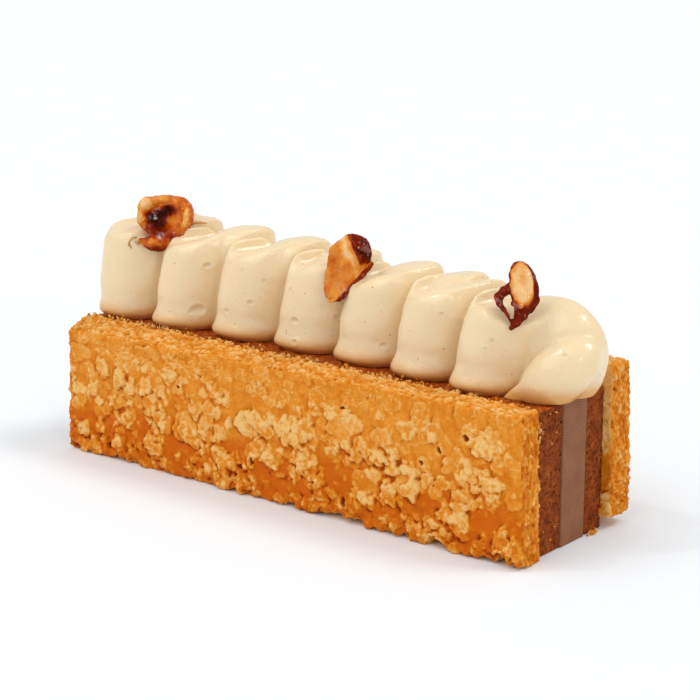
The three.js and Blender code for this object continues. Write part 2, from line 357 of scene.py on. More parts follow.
class Finish:
    """A material with one Principled shader, put together from nodes."""

    def __init__(self, name, **constants):
        self.material = bpy.data.materials.new(name)
        self.material.use_nodes = True
        self.tree = self.material.node_tree
        self.shader = self.tree.nodes["Principled BSDF"]
        for socket, value in constants.items():
            self.shader.inputs[self.socket_name(socket)].default_value = value
        self.place = self.node("ShaderNodeTexCoord", {}, {}, "Object")

    @staticmethod
    def socket_name(word):
        return word.replace("_", " ").title().replace("Ior", "IOR")

    def node(self, kind, settings, inputs, output=0):
        """Adds a node. Its settings are set first, and then its sockets get values or wires."""
        made = self.tree.nodes.new(kind)
        for name, value in settings.items():
            setattr(made, name, value)
        for name, value in inputs.items():
            if isinstance(value, Wire):
                self.tree.links.new(value.socket, made.inputs[name])
            else:
                made.inputs[name].default_value = value
        return Wire(self, made.outputs[output])

    def mark(self, name):
        """A value that the mesh carries at each of its points."""
        return self.node("ShaderNodeAttribute", {"attribute_name": name}, {}, "Fac")

    def noise(self, size, detail, roughness=0.5, place=None, distortion=0.0):
        """Noise from 0 to 1, with features of a size in millimetres."""
        values = {"Scale": 1 / (size * MM), "Detail": detail, "Roughness": roughness}
        values |= {"Vector": place or self.place, "Distortion": distortion}
        return self.node("ShaderNodeTexNoise", {}, values)

    def spots(self, size, randomness=1.0):
        """Distance to scattered points, which lie about a size in millimetres apart."""
        values = {"Vector": self.place, "Scale": 1 / (size * MM), "Randomness": randomness}
        return self.node("ShaderNodeTexVoronoi", {}, values, "Distance")

    def between(self, value, low, high, first=0.0, second=1.0):
        """Follows a value smoothly from low to high."""
        limits = {"From Min": low, "From Max": high, "To Min": first, "To Max": second}
        settings = {"interpolation_type": "SMOOTHSTEP"}
        return self.node("ShaderNodeMapRange", settings, {"Value": value, **limits})

    def ramp(self, value, *stops):
        """Goes through colours as a value rises. Each stop is a value and its colour."""
        wire = self.node("ShaderNodeValToRGB", {}, {"Fac": value})
        elements = wire.socket.node.color_ramp.elements
        while len(elements) < len(stops):
            elements.new(1.0)
        for element, stop in zip(elements, stops):
            element.position, element.color = stop
        return wire

    def mix(self, first, second, part):
        return self.node("ShaderNodeMix", {"data_type": "RGBA"}, {0: part, 6: first, 7: second}, 2)

    def bumps(self, height, distance, strength):
        inputs = {"Height": height, "Distance": distance * MM, "Strength": strength}
        return self.node("ShaderNodeBump", {}, inputs, "Normal")

    def connect(self, **wires):
        for socket, wire in wires.items():
            self.tree.links.new(wire.socket, self.shader.inputs[self.socket_name(socket)])
        return self.material


# ---- Settings ----


def size_setting(name, description, default):
    return FloatProperty(
        name=name, description=description, default=default * MM, unit="LENGTH", precision=5
    )


def colour_setting(name, description, default):
    return FloatVectorProperty(
        name=name, description=description, default=default, size=4, min=0, max=1, subtype="COLOR"
    )


class PastrySettings(bpy.types.PropertyGroup):
    """The two standing slabs of caramelised puff pastry."""

    step: size_setting("Point spacing", "Spacing of the crust's points", 0.24)
    flake: size_setting("Flake size", "Radius of the largest flakes", 3.7)
    lift: size_setting("Flake lift", "How far a flake stands off what it lies on", 0.27)
    leaf: size_setting("Leaf spacing", "Distance between two leaves where the pastry is cut", 0.66)
    torn: size_setting("Torn depth", "How unevenly the cut leaves end", 0.4)
    amber: colour_setting("Amber", "The glassy caramelised crust", paint(204, 98, 5))
    golden: colour_setting("Golden", "The evenly baked crust", paint(226, 146, 46))
    pale: colour_setting("Pale", "Dry flakes and torn edges", paint(238, 189, 115))
    # Deep is the painted shade in pits, gaps and grooves, and the colour of dark specks.
    deep: colour_setting("Deep", "The insides of pits and gaps", paint(134, 42, 0))
    seed: IntProperty(name="Seed", description="Which random crust is made", default=11)


class FillingSettings(bpy.types.PropertyGroup):
    """The two sponge biscuits and the ganache between them."""

    crumb: size_setting("Crumb size", "Distance between the sponge's pores", 0.85)
    crumb_depth: size_setting("Crumb depth", "Depth of the sponge's pores", 0.3)
    knife: size_setting("Knife mark spacing", "Distance between two knife marks in the ganache", 0.5)
    knife_depth: size_setting("Knife mark depth", "Depth of the knife marks", 0.018)
    sponge: colour_setting("Sponge", "The cut crumb", paint(140, 62, 22))
    # The darkest crumb, and the painted shade that fills the sponge's pores.
    sponge_dark: colour_setting("Sponge pores", "The sponge's pores and edges", paint(84, 32, 8))
    sponge_light: colour_setting("Sponge specks", "Toasted nut grains in the sponge", paint(190, 98, 36))
    glaze: colour_setting("Glaze", "The sticky top edge of the sponge", paint(170, 66, 10))
    ganache: colour_setting("Ganache", "The smooth filling", paint(142, 91, 58))


class CreamSettings(bpy.types.PropertyGroup):
    """The piped wave of nut cream."""

    step: size_setting("Net spacing", "Spacing of the cream's points", 0.36)
    crease: size_setting("Crease softness", "Radius of the creases between two strokes", 0.5)
    tuck: size_setting("Foot tuck", "How far the foot curls in at the base", 0.8)
    cream: colour_setting("Cream", "The cream", paint(240, 217, 176))
    # Tan is painted light near the foot: the orange bounce from the crust and the shade under the foot.
    tan: colour_setting("Tan", "The cream where it is thin or low", paint(226, 168, 92))
    speck: colour_setting("Speck", "Grains of roasted nut in the cream", paint(176, 92, 40))


class NutSettings(bpy.types.PropertyGroup):
    """The three pieces of caramelised hazelnut."""

    step: size_setting("Net spacing", "Spacing of the nuts' points", 0.19)
    kernel: colour_setting("Kernel", "The pale broken kernel", paint(242, 192, 128))
    amber: colour_setting("Amber", "Thin caramel", paint(208, 108, 10))
    skin: colour_setting("Skin", "The dark red-brown skin", paint(120, 28, 0))
    burnt: colour_setting("Burnt", "Thick burnt caramel", paint(52, 9, 1))


class StageSettings(bpy.types.PropertyGroup):
    """The floor, the lights and the camera."""

    floor: colour_setting("Floor", "The plain floor", paint(241, 246, 250))
    sky: FloatProperty(name="Sky", description="Strength of the light from all round", default=0.7)
    key: FloatProperty(name="Key", description="Strength of the main light", default=0.72)
    rim: FloatProperty(name="Rim", description="Strength of the light from behind", default=0.74)
    side: FloatProperty(name="Side", description="Strength of the light from the right", default=0.17)
    glint: FloatProperty(name="Glint", description="Strength of the small, hard lamp", default=0.16)


# ---- Pastry ----

HALF_LENGTH = 60.0
FOOT_FLARE = 0.9
FACE_ALLOWANCE = 0.35  # the frame's box reaches this far past the crust's middle height
END_DARKENING = 0.2  # how much darker the cut leaves are at the ends than on the top
FACE_PITS = 10
DEPTH_SPACING = 0.3  # of the crust's points through its thickness
FLAKE_TIERS = (  # smallest and largest share of the flake size, how many to a square millimetre, stand
    (0.6, 1.0, 0.022, 0.9),
    (0.32, 0.6, 0.075, 1.0),
    (0.15, 0.32, 0.2, 0.7),
)


class Slab(NamedTuple):
    """One standing slab of pastry."""

    piece: str
    node: str
    seed: int
    outward: int  # the way its baked face looks along Y
    height: float
    overhang: float  # past the bar at the top of the right end; the foot flares further
    edge_drop: float  # how far the outer top edge is worn down at its left end
    chip: float  # how high the foot is broken away at the right end
    end_wave: float  # how wavy the cut leaves are at the ends
    strips: tuple  # how much of the inner face shows, at its right end and its top


FRONT = Slab("front_slab", "pastry_front", 0, -1, 29.9, 0.0, 2.5, 0.0, 0.6, (0.0, 0.0))
BACK = Slab("back_slab", "pastry_back", 100, 1, 33.4, 1.2, 1.0, 2.4, 1.0, (3.2, 5.5))


def flake_outline(angle, rng):
    """A torn outline: a radius of about one that wanders with the angle."""
    outline = np.ones(angle.shape)
    for waves, depth in ((2, 0.16), (3, 0.15), (4, 0.1), (7, 0.06), (11, 0.035)):
        outline += depth * rng.uniform(0.3, 1.3) * np.sin(waves * angle + rng.uniform(0, 2 * math.pi))
    return outline


def spun(dx, dz, turn):
    """Two distances measured along axes that are turned by an angle."""
    return dx * math.cos(turn) + dz * math.sin(turn), dz * math.cos(turn) - dx * math.sin(turn)


def lay_flake(face, rng, centre, size, lift, shade):
    """Lays one thin plate on the crust, with a crisp edge that curls up a little, and colours it; its
    pale edge is partly a painted highlight.
    """
    across, up, height, tone = face
    reach = 1.7 * size + 0.3
    columns = np.flatnonzero(np.abs(across[:, 0] - centre[0]) < reach)
    rows = np.flatnonzero(np.abs(up[0] - centre[1]) < reach)
    if len(columns) < 2 or len(rows) < 2:
        return
    window = np.ix_(columns, rows)
    turn = rng.uniform(0, math.pi)
    squash = rng.uniform(0.6, 1.0)
    dx, dz = across[window] - centre[0], up[window] - centre[1]
    along, aside = spun(dx, dz, turn)
    aside = aside / squash
    distance = np.hypot(along, aside) / size
    outline = flake_outline(np.arctan2(aside, along), rng)
    depth = (outline - distance) * size
    inside = smoothstep(depth, -0.1, 0.2)
    below = height[window]
    level = np.average(below, weights=inside + 1e-6) + lift
    lean = rng.normal(0, 0.07, 2)
    plate = blend(level, below + lift, 0.4) + lean[0] * dx + lean[1] * dz
    curl = 0.35 * lift * np.clip(distance / outline, 0, 1.1) ** 5
    height[window] = blend(below, plate + curl, inside)
    # A pale line in patches along the flake's edge: partly its thin dry edge, partly a painted
    # highlight.
    rim_patches = smoothstep(noise(dx / (0.5 * size), dz / (0.5 * size), seed=int(1000 * size)), -0.5, 0.5)
    rim = rng.uniform(0.1, 0.6) * bump(depth, 0.1, 0.15) * rim_patches
    cover = rng.uniform(0.35, 0.75) * smoothstep(depth, -0.15, 0.5)
    tone[window] = blend(tone[window], shade, cover) + rim


def open_pit(face, rng, pit, centre, size, depth):
    """Opens an uneven hole in the crust, with a low swollen rim and painted shade inside."""
    across, up, height, tone = face
    along, aside = spun(across - centre[0], up - centre[1], rng.uniform(0, math.pi))
    distance = np.hypot(along / (rng.uniform(1.1, 1.8) * size), aside / size)
    distance = distance * (1 + 0.35 * noise(across / 0.7, up / 0.7, seed=5))
    hollow = fade(distance, 0.45, 1.0)
    height += 0.12 * bump(distance, 1.25, 0.3) - depth * hollow
    # The hole's inside is darkened: painted shade.
    tone += 0.08 * bump(distance, 1.2, 0.25) - 0.5 * hollow
    np.maximum(pit, hollow, out=pit)


def softened(sheet, cells):
    """A sheet of values with everything finer than some number of cells smoothed away."""
    for axis in range(2):
        for _ in range(2):
            padded = np.pad(sheet, [(cells, cells) if axis == n else (0, 0) for n in range(2)], "edge")
            total = np.cumsum(padded, axis=axis)
            first = np.take(total, range(2 * cells, total.shape[axis]), axis=axis)
            last = np.take(total, range(0, total.shape[axis] - 2 * cells), axis=axis)
            sheet = (first - last) / (2 * cells)
    return sheet


def crust_face(across, up, settings, tall, seed):
    """Relief, tone (0 amber, 1 pale) with painted highlights on raised edges, and painted shade in pits,
    gaps, dips and low down, of a baked broad face.
    """

    def ripple(wide, high, number):
        return noise(across / wide, up / high, seed=seed + number)

    rng = np.random.default_rng(seed)
    lift = settings.lift / MM
    left, length = across[0, 0], across[-1, 0] - across[0, 0]
    low_band = fade(up, 4, 13)
    top_band = smoothstep(up, tall - 8, tall - 3)
    crowd = ripple(8, 6, 8) + 0.55 * ripple(3, 2.6, 9)
    height = 0.45 * ripple(11, 8, 0) + 0.3 * ripple(3.4, 3.0, 1)
    height += 0.55 * low_band * ripple(2.9, 2.3, 2)
    height += 0.2 * top_band * ripple(2.2, 8, 4)
    wet = smoothstep(0.4 * tall + 6 * ripple(13, 9, 13) - up, -5, 4)
    tone = 0.5 - 0.45 * wet + 0.13 * ripple(5, 4.5, 3)
    tone += 0.12 * ripple(1.3, 4, 5)
    face = (across, up, height, tone)
    for smallest, biggest, density, stand in FLAKE_TIERS:
        for _ in range(int(length * tall * density)):
            size = settings.flake / MM * rng.uniform(smallest, biggest)
            centre = (left + length * rng.uniform(), tall * rng.uniform() ** 1.1)
            chance = smoothstep(noise(centre[0] / 8, centre[1] / 6, seed=seed + 8), -0.55, 0.35)
            near_top = float(smoothstep(centre[1], tall - 10, tall - 3))
            if rng.uniform() > 0.12 + 0.88 * float(chance):
                continue
            rise, shade = lift * stand * rng.uniform(0.4, 1.4), rng.uniform(0.5, 1.05)
            shade -= 0.2 * float(smoothstep(-centre[1], -9, -1))
            rise *= 1 - 0.72 * near_top
            lay_flake(face, rng, centre, size, rise, blend(shade, 0.5, 0.75 * near_top))
    for size, stand, share in ((2.0, 0.22, 0.24), (1.1, 0.14, 0.3)):
        near, own = grains(across / size, up / size, seed=seed + int(10 * size))
        near = near * (1 + 0.2 * ripple(0.9, 0.9, 12))
        dome = np.sqrt(np.maximum(0, 1 - (near / blend(0.36, 0.62, own)) ** 4))
        here = smoothstep(crowd + 0.6 * low_band + 0.5 * (own - 0.5), 0.1, 0.5) * (1 - 0.8 * top_band)
        here = here * (own > 1 - share)
        height += stand * dome * here
        tone += (0.34 * own - 0.1) * smoothstep(dome, 0, 0.9) * here
    pit = np.zeros(across.shape)
    for _ in range(FACE_PITS):
        centre = (left + length * rng.uniform(0.02, 0.98), 2 + (tall - 5) * rng.uniform())
        open_pit(face, rng, pit, centre, rng.uniform(0.4, 0.8), rng.uniform(0.5, 1.0))
    height += 0.06 * ripple(0.8, 0.8, 6)
    stands_out = height - softened(height, max(2, int(0.9 / (across[1, 0] - across[0, 0]))))
    # Crevices below the softened relief: painted shade.
    crevice_shade = smoothstep(-stands_out, 0.05, 0.32) * blend(0.75, 1.0, low_band)
    # Tone rises where the relief stands out: a painted highlight on raised edges, and painted shade in
    # dips.
    tone = tone + 0.85 * np.clip(stands_out, -0.3, 0.35) + 0.1 * ripple(0.8, 0.8, 7)
    # Darker patches low on the face: painted shade.
    shade = 0.28 * low_band * smoothstep(ripple(4, 3, 14), -0.7, 0.6)
    return height, tone - shade, np.maximum(pit, 0.8 * crevice_shade + 0.3 * shade)


def cut_leaves(run, across, settings, seed, wave=1.0, darkening=0.0):
    """Relief, tone and painted shade in the grooves and holes where the leaves of the pastry are cut
    through; they lie along run.
    """
    torn = settings.torn / MM
    slow, quick = noise(run / 15, across / 5, seed=seed), noise(run / 3, across / 2, seed=seed + 1)
    place = across / (settings.leaf / MM) + wave * (1.1 * slow + 0.45 * quick)
    leaf = np.floor(place)
    within = place - leaf
    open_gap = smoothstep(noise(run / 4, leaf * 5.17, seed=seed + 5), -0.5, 0.5)
    groove = fade(np.minimum(within, 1 - within), 0.0, 0.26) * open_gap
    ragged = noise(run / 2.4, leaf * 7.31, seed=seed + 2)
    fine = noise(run / 0.75, leaf * 3.7, across / 0.7, seed=seed + 3)
    near, own = grains(run / 1.05, across / 0.8, seed=seed + 6)
    granule = np.sqrt(np.maximum(0, 1 - (near / 0.55) ** 2)) * (own > 0.55)
    hole = smoothstep(noise(run / 2.1, across / 1.2, seed=seed + 4), 0.55, 0.85)
    height = torn * (0.8 * ragged + 0.6 * fine - 0.8 * groove - 1.7 * hole + 0.9 * granule)
    # The tone darkens in the grooves and holes: painted shade.
    tone = 0.63 - darkening + 0.34 * ragged + 0.4 * fine - 0.4 * groove
    tone = tone - 0.35 * hole + 0.5 * granule * (own - 0.3)
    return height, tone, 0.75 * hole + 0.45 * groove


def slab_sheets(slab, low, high, cells, settings, seed):
    """Flakes for the broad faces of a slab that show, and cut leaves for its narrow ones."""
    face, level = (across_side(low, high, cells, axis) for axis in (1, 2))
    end = across_side(low, high, cells, 0)[::-1]
    base = cut_leaves(*level, settings, seed + 60)
    sheets = {
        (1, slab.outward): crust_face(*face, settings, high[2], seed),
        (2, 1): cut_leaves(*level, settings, seed + 50),
        (2, -1): (np.minimum(base[0], 0), *base[1:]),
        (0, 1): cut_leaves(*end, settings, seed + 70, slab.end_wave, END_DARKENING),
        (0, -1): cut_leaves(*end, settings, seed + 80, slab.end_wave, END_DARKENING),
    }
    if slab.outward > 0:
        height, tone, pit = crust_face(*face, settings, high[2], seed + 40)
        sheets[(1, -slab.outward)] = (height * 0.6, tone + 0.3, pit * 0.6)
    return sheets


def wear(slab, points, low, high, seed):
    """Flares a slab's foot, wears its top edge down, and tears the edge it stands on."""
    along = (points[:, 0] - low[0]) / (high[0] - low[0])
    up = points[:, 2] / high[2]
    middle, thickness = (low[1] + high[1]) / 2, high[1] - low[1]
    depth = np.clip(0.5 + slab.outward * (points[:, 1] - middle) / thickness, 0, 1)
    near_end = np.clip(np.abs(2 * along - 1), 0, 1) ** 8
    points[:, 0] += np.sign(along - 0.5) * FOOT_FLARE * (1 - up) * near_end
    points[:, 2] -= slab.edge_drop * (1 - along) * depth * smoothstep(up, 0.72, 1.0)
    ragged = np.maximum(0, rough(points[:, 0] / 3.6, 0.5, seed=seed + 6))
    low_edge = fade(points[:, 2], 0.2, 4.0) * smoothstep(depth, 0.35, 1.0)
    points[:, 2] += 2.0 * ragged * low_edge
    lump = noise(points[:, 0] / 2.4, points[:, 2] / 2.0, seed=seed + 9)
    lump = 0.6 * lump * fade(points[:, 2], 0.5, 5.0) * smoothstep(depth, 0.6, 1.0)
    points[:, 1] += lump * slab.outward
    corner = smoothstep(points[:, 0], high[0] - 9, high[0]) * fade(up, 0, 0.3)
    points[:, 2] += slab.chip * corner


def pastry_finish(settings):
    """Caramelised puff pastry: glassy amber below, dry pale flakes above, painted deep brown shade in
    the pits and gaps.
    """
    finish = Finish(
        "crust",
        subsurface_weight=0.15,
        subsurface_radius=(1.0, 0.45, 0.15),
        subsurface_scale=0.0012,
        specular_ior_level=0.06,
    )
    tone = finish.mark("tone")
    pit = finish.mark("pit")
    fine = finish.noise(0.5, detail=4, roughness=0.65)
    cloud = finish.noise(5, detail=2)
    mottle = finish.noise(1.6, detail=2, distortion=1.5)
    level = tone + (fine - 0.5) * 0.45 + (cloud - 0.5) * 0.3 + (mottle - 0.5) * 0.4
    warm = (0.3, paint(210, 116, 14))
    light = (0.6, settings.golden), (1.0, settings.pale)
    colour = finish.ramp(level, (0.0, settings.amber), warm, *light)
    # Painted shade: the pits, gaps and grooves turn deep brown.
    colour = finish.mix(colour, settings.deep, finish.between(pit, 0.08, 0.95, 0, 0.97))
    specks = finish.between(finish.spots(1.3), 0.06, 0.14, 0.55, 0)
    colour = finish.mix(colour, settings.deep, specks * finish.between(cloud, 0.5, 0.62))
    glassy = finish.between(level, 0.15, 0.6, 1, 0)
    height = finish.noise(0.3, detail=5, roughness=0.7) + finish.noise(1.2, detail=3) * 0.9
    normal = finish.bumps(height, 0.15, 0.55)
    return finish.connect(base_color=colour, roughness=0.5 - 0.25 * glassy, normal=normal)


def pastry_slab(slab, settings, finish):
    """One standing slab. The part of its inner face that the fillings hide is a single plain face."""
    seed = settings.seed + slab.seed
    step = settings.step / MM
    low, high = millimetres(slab.node)
    baked = low if slab.outward < 0 else high
    baked[1] -= slab.outward * FACE_ALLOWANCE
    low[0], low[2] = -HALF_LENGTH, 0
    high[0], high[2] = HALF_LENGTH + slab.overhang, slab.height
    cells = np.maximum(1, np.round((high - low) / np.array([step, DEPTH_SPACING, step]))).astype(int)
    inner_row = cells[1] if slab.outward < 0 else 0
    last = cells[[0, 2]] - np.round(np.array(slab.strips) / step).astype(int)
    points, spots, faces = box_skin(low, high, cells, [(inner_row, *last)])
    radius = 0.6 + 0.3 * noise(*(points.T / 4), seed=seed + 3)
    points, out = round_edges(points, low, high, radius[:, None])
    height, tone, pit = spread_over(out, spots, slab_sheets(slab, low, high, cells, settings, seed))
    points = points + out * height[:, None]
    wear(slab, points, low, high, seed)
    add_piece(slab.piece, points, faces, finish, slab.node, {"tone": tone, "pit": pit})


class LayPastry(bpy.types.Operator):
    """Makes the front and the back slab of puff pastry"""

    bl_idname = "mille_feuille.lay_pastry"
    bl_label = "Lay the pastry"

    def execute(self, context):
        settings = context.scene.slice_pastry
        finish = pastry_finish(settings)
        for slab in (FRONT, BACK):
            pastry_slab(slab, settings, finish)
        return {"FINISHED"}


# ---- Fillings ----

SPONGE_SPACING = (0.36, 0.24, 0.24)
SPONGE_EDGE = 0.25
GANACHE_SPACING = (0.8, 0.3, 0.13)
GANACHE_EDGE = 0.2


def sponge_surface(first, second, settings, seed):
    """Relief, pores with painted shade in them, and grain tone of cut sponge."""
    size = settings.crumb / MM
    depth = settings.crumb_depth / MM
    near, own = grains(first / size, second / size, seed=seed)
    small, small_own = grains(first / (0.45 * size), second / (0.45 * size), seed=seed + 1)
    pore = fade(near, 0.1, 0.42) * (own > 0.45)
    grain = fade(small, 0.2, 0.55) * (small_own > 0.6)
    swell = rough(first / 2.2, second / 2.2, seed=seed + 2)
    height = depth * (0.35 * swell - 1.0 * pore + 0.35 * grain) - 0.12
    tone = 0.5 + 0.22 * swell + 0.3 * grain
    return height, tone, pore


def sponge_finish(settings):
    """Rust-brown sponge with painted shade in its pores and toasted specks, sticky along its top edge.
    """
    finish = Finish("sponge", specular_ior_level=0.12, coat_roughness=0.08)
    tone = finish.mark("tone")
    pore = finish.mark("pore")
    top = finish.mark("top")
    fine = finish.noise(0.32, detail=5, roughness=0.75)
    cloud = finish.noise(3.0, detail=2)
    level = tone + (fine - 0.5) * 1.1 + (cloud - 0.5) * 0.4
    colours = (settings.sponge_dark, settings.sponge, settings.sponge_light)
    colour = finish.ramp(level, *zip((0.05, 0.5, 0.95), colours))
    # Painted shade: the pores turn dark brown.
    colour = finish.mix(colour, settings.sponge_dark, pore * 0.8)
    sticky = finish.mix(settings.glaze, paint(228, 128, 40), finish.between(level, 0.45, 0.95))
    colour = finish.mix(colour, sticky, top)
    normal = finish.bumps(fine + finish.noise(0.9, detail=3) * 0.9, 0.35, 0.9)
    roughness = finish.between(top, 0, 1, 0.8, 0.3)
    coat = finish.between(top, 0.3, 1, 0, 0.4)
    return finish.connect(base_color=colour, roughness=roughness, coat_weight=coat, normal=normal)


def filling_box(node, spacing, radius):
    """A gridded box with round edges for a filling. Its broad sides are hidden, so they are plain."""
    low, high = millimetres(node)
    low[2] = 0.0
    cells = np.round((high - low) / spacing).astype(int)
    plain = [(row, cells[0], cells[2]) for row in (0, cells[1])]
    points, spots, faces = box_skin(low, high, cells, plain)
    points, out = round_edges(points, low, high, radius)
    return low, high, cells, spots, points, out, faces


def sponge_layer(name, node, settings, finish, seed):
    """One standing layer of sponge."""
    low, high, cells, spots, points, out, faces = filling_box(node, SPONGE_SPACING, SPONGE_EDGE)
    sheets = {}
    for number, side in enumerate(((2, 1), (2, -1), (0, 1), (0, -1))):
        places = across_side(low, high, cells, side[0])
        sheets[side] = sponge_surface(*places, settings, seed + 10 * number)
    height, tone, pore = spread_over(out, spots, sheets)
    on_top = np.where(out[:, 2] > 0, out[:, 2] ** 2, 0)
    points = points + out * np.minimum(height * (1 + 0.5 * on_top), 0.2)[:, None]
    add_piece(name, points, faces, finish, node, {"tone": tone, "pore": pore, "top": on_top})


def ganache_finish(settings):
    """Smooth brown ganache with fine drag lines, and tiny air holes painted as dark dots of shade."""
    finish = Finish("ganache", specular_ior_level=0.12, subsurface_weight=0.1, subsurface_scale=0.002)
    mark = finish.mark("mark")
    cloud = finish.noise(3.5, detail=3)
    fine = finish.noise(0.3, detail=3)
    darker = finish.mix(settings.ganache, paint(104, 62, 44), 0.5)
    colour = finish.mix(settings.ganache, darker, finish.between(cloud + (fine - 0.5) * 0.4, 0.3, 0.75))
    colour = finish.mix(colour, paint(176, 130, 100), finish.between(mark, 0.4, 1.0, 0, 0.3))
    # The air holes are dark dots of painted shade, with no dent in the relief.
    hole_shade = finish.between(finish.spots(1.6), 0.05, 0.11, 0.5, 0)
    colour = finish.mix(colour, paint(80, 42, 28), hole_shade)
    normal = finish.bumps(fine * 0.5 + cloud, 0.05, 0.5)
    gloss = finish.between(fine, 0.3, 0.7, 0.42, 0.56)
    return finish.connect(base_color=colour, roughness=gloss, normal=normal)


def ganache_layer(settings, finish):
    """The standing layer of ganache, with the marks that the knife left on its ends."""
    points, out, faces = filling_box("ganache", GANACHE_SPACING, GANACHE_EDGE)[-3:]
    x, y, z = points.T
    slant = z + 0.10 * y + 0.25 * noise(y / 5, z / 5, seed=3)
    drag = np.sin(2 * math.pi * slant / (settings.knife / MM))
    depth = (settings.knife_depth / MM) * smoothstep(rough(y / 3, z / 2.5, seed=4), -0.5, 0.4)
    on_end = out[:, 0] ** 2
    height = on_end * (depth * drag + 0.05 * noise(y / 3, z / 6, x, seed=5))
    height -= (1 - on_end) * 0.05 * (1 + noise(x / 2, y / 2, z, seed=6))
    points = points + out * height[:, None]
    marks = {"mark": on_end * (0.5 + 0.5 * drag)}
    add_piece("ganache_layer", points, faces, finish, "ganache", marks)


class LayFillings(bpy.types.Operator):
    """Makes the two sponge biscuits and the ganache between them"""

    bl_idname = "mille_feuille.lay_fillings"
    bl_label = "Lay the fillings"

    def execute(self, context):
        settings = context.scene.slice_filling
        sponge = sponge_finish(settings)
        sponge_layer("front_sponge", "biscuit_front", settings, sponge, 21)
        sponge_layer("back_sponge", "biscuit_back", settings, sponge, 121)
        ganache_layer(settings, ganache_finish(settings))
        return {"FINISHED"}


# ---- Piped cream ----

STROKES = 7
FIRST_STROKE = -55.3
STROKE_PITCH = 17.8
STROKE_CLOSING = 0.22
STROKE_REACH = 17.0  # nothing of a stroke lies further from its middle along the bar
PLAN_SQUARENESS = 2.35  # 2 would make a stroke round from above
RIDGE_AT = 0.52  # how far right a stroke's ridge lies, as a share of half its width
BEND_ENDS = (-35.5, -20.2, -4.2, 9.8, 25.4, 37.2)  # how far right each back bend reaches at its top
BEND_LEAN = 5.6  # how far a bend has leaned to the right there
CREAM_BASE = 29.4
CREAM_MARGIN = 3.0  # how far the grid for the cream goes past the frame's box
CREAM_SINK = 0.35  # the cream settles this far into the crumb below it
STRAND_SOFTNESS = 0.35


def stroke_place(index):
    """Where a stroke stands along the bar. The strokes close up towards the right end."""
    return FIRST_STROKE + (STROKE_PITCH - STROKE_CLOSING * index) * index


def joined(fields, softness):
    """The union of fields, with a fillet of some softness where they meet."""
    whole = fields[0]
    for field in fields[1:]:
        near = np.maximum(softness - np.abs(whole - field), 0) / softness
        whole = np.minimum(whole, field) - near * near * softness / 4
    return whole


def rounded_corner(side, top, radius):
    """Joins a side and a top with a round edge of some radius."""
    outer = np.hypot(np.maximum(side + radius, 0), np.maximum(top + radius, 0))
    return outer - radius + np.minimum(np.maximum(side, top) + radius, 0)


def stroke(
    place, tuck, *, x, y, top, half_width, front, back, sweep, lean, rise, lip, lip_edge,
    shoulder, foot, fall, belly,
):
    """One stroke of cream: a pillow that leans to the right as it rises and is swept to the right.

    Its top dips behind a lip at the left, rises to a crest, and falls away beyond the crest's ridge.
    """
    py = place[1] - y
    above = np.maximum(0, place[2] - CREAM_BASE)
    px = place[0] - x - sweep * py - lean * (above + 0.1 * above**2)
    curl = tuck * (1 - np.clip(above / 1.1, 0, 1)) ** 2
    ledge = bump(above, 1.5, 1.5) - 0.3 * bump(above, 5.0, 2.0)
    side = np.abs(px) / (half_width + 0.2 * foot * ledge + belly * bump(above, 10, 8) - curl)
    facing = np.where(py < 0, front + foot * ledge, back + 0.5 * foot * ledge) - curl
    plan = (side**PLAN_SQUARENESS + np.abs(py / facing) ** PLAN_SQUARENESS) ** (1 / PLAN_SQUARENESS)
    u = px / half_width
    crest = smoothstep(u, -0.55, 0.6) * smoothstep(py, -8.0, 1.0)
    shown = smoothstep(py, -9.0, -5.5) * fade(py, 2, 7)
    edge = lip * (bump(u, -0.92, 0.15) - 0.9 * bump(u, -0.4, 0.3)) * shown
    over = np.maximum(0, u - RIDGE_AT) * half_width
    surface = top + rise * crest + edge - fall * over
    corner = blend(shoulder, lip_edge, bump(u, -1.0, 0.35) * shown)
    return rounded_corner((plan - 1) * half_width, 0.85 * (place[2] - surface), corner)


def turned(turn):
    """The matrix of turns in degrees about X, Y and Z."""
    return np.array(Euler([math.radians(angle) for angle in turn]).to_matrix())


def egg(place, centre, radii, turn=(0, 0, 0), power=2.0):
    """An ellipsoid, or with more power a boxier one, turned about X, Y and Z."""
    offset = np.tensordot(turned(turn).T, np.stack([place[axis] - centre[axis] for axis in range(3)]), 1)
    scaled = sum(np.abs(offset[axis] / radii[axis]) ** power for axis in range(3)) ** (1 / power)
    return (scaled - 1) * min(radii)


def strand(place, route):
    """A thread of caramel along a route of points, each followed by the thread's radius there."""
    parts = []
    for start, end in zip(route, route[1:]):
        way = np.subtract(end[:3], start[:3])
        offset = [place[axis] - start[axis] for axis in range(3)]
        part = np.clip(sum(offset[axis] * way[axis] for axis in range(3)) / (way @ way), 0, 1)
        square = sum((offset[axis] - part * way[axis]) ** 2 for axis in range(3))
        parts.append(np.sqrt(square) - blend(start[3], end[3], part))
    return joined(parts, STRAND_SOFTNESS)


def front_lobe(index):
    """The sizes of a front lobe. The lobes get lower and narrower towards the right end."""
    place = stroke_place(index)
    bow = 1.5 * math.cos(2 * math.pi * index / 6.5)
    form = dict(
        x=place + 1.2, y=0, top=CREAM_BASE + (19.7 - 0.32 * index), half_width=8.3 - 0.16 * index,
        front=8.8 + bow, back=8.2, sweep=0.34, lean=0.078, rise=2.6 - 0.25 * index, lip=1.6,
        lip_edge=0.95, shoulder=3.0, foot=0.8, fall=0.9, belly=0.0,
    )
    if index == 0:
        form |= dict(x=place + 3.6, top=CREAM_BASE + 20.3, half_width=7.4, lean=0.04)
        form |= dict(lip=0.9, lip_edge=1.8, foot=0.4, belly=0.8)
    if index == 1:
        form |= dict(x=place + 1.9, half_width=7.4)
    if index == STROKES - 1:
        form |= dict(rise=-1.2, fall=0.0)
    return form


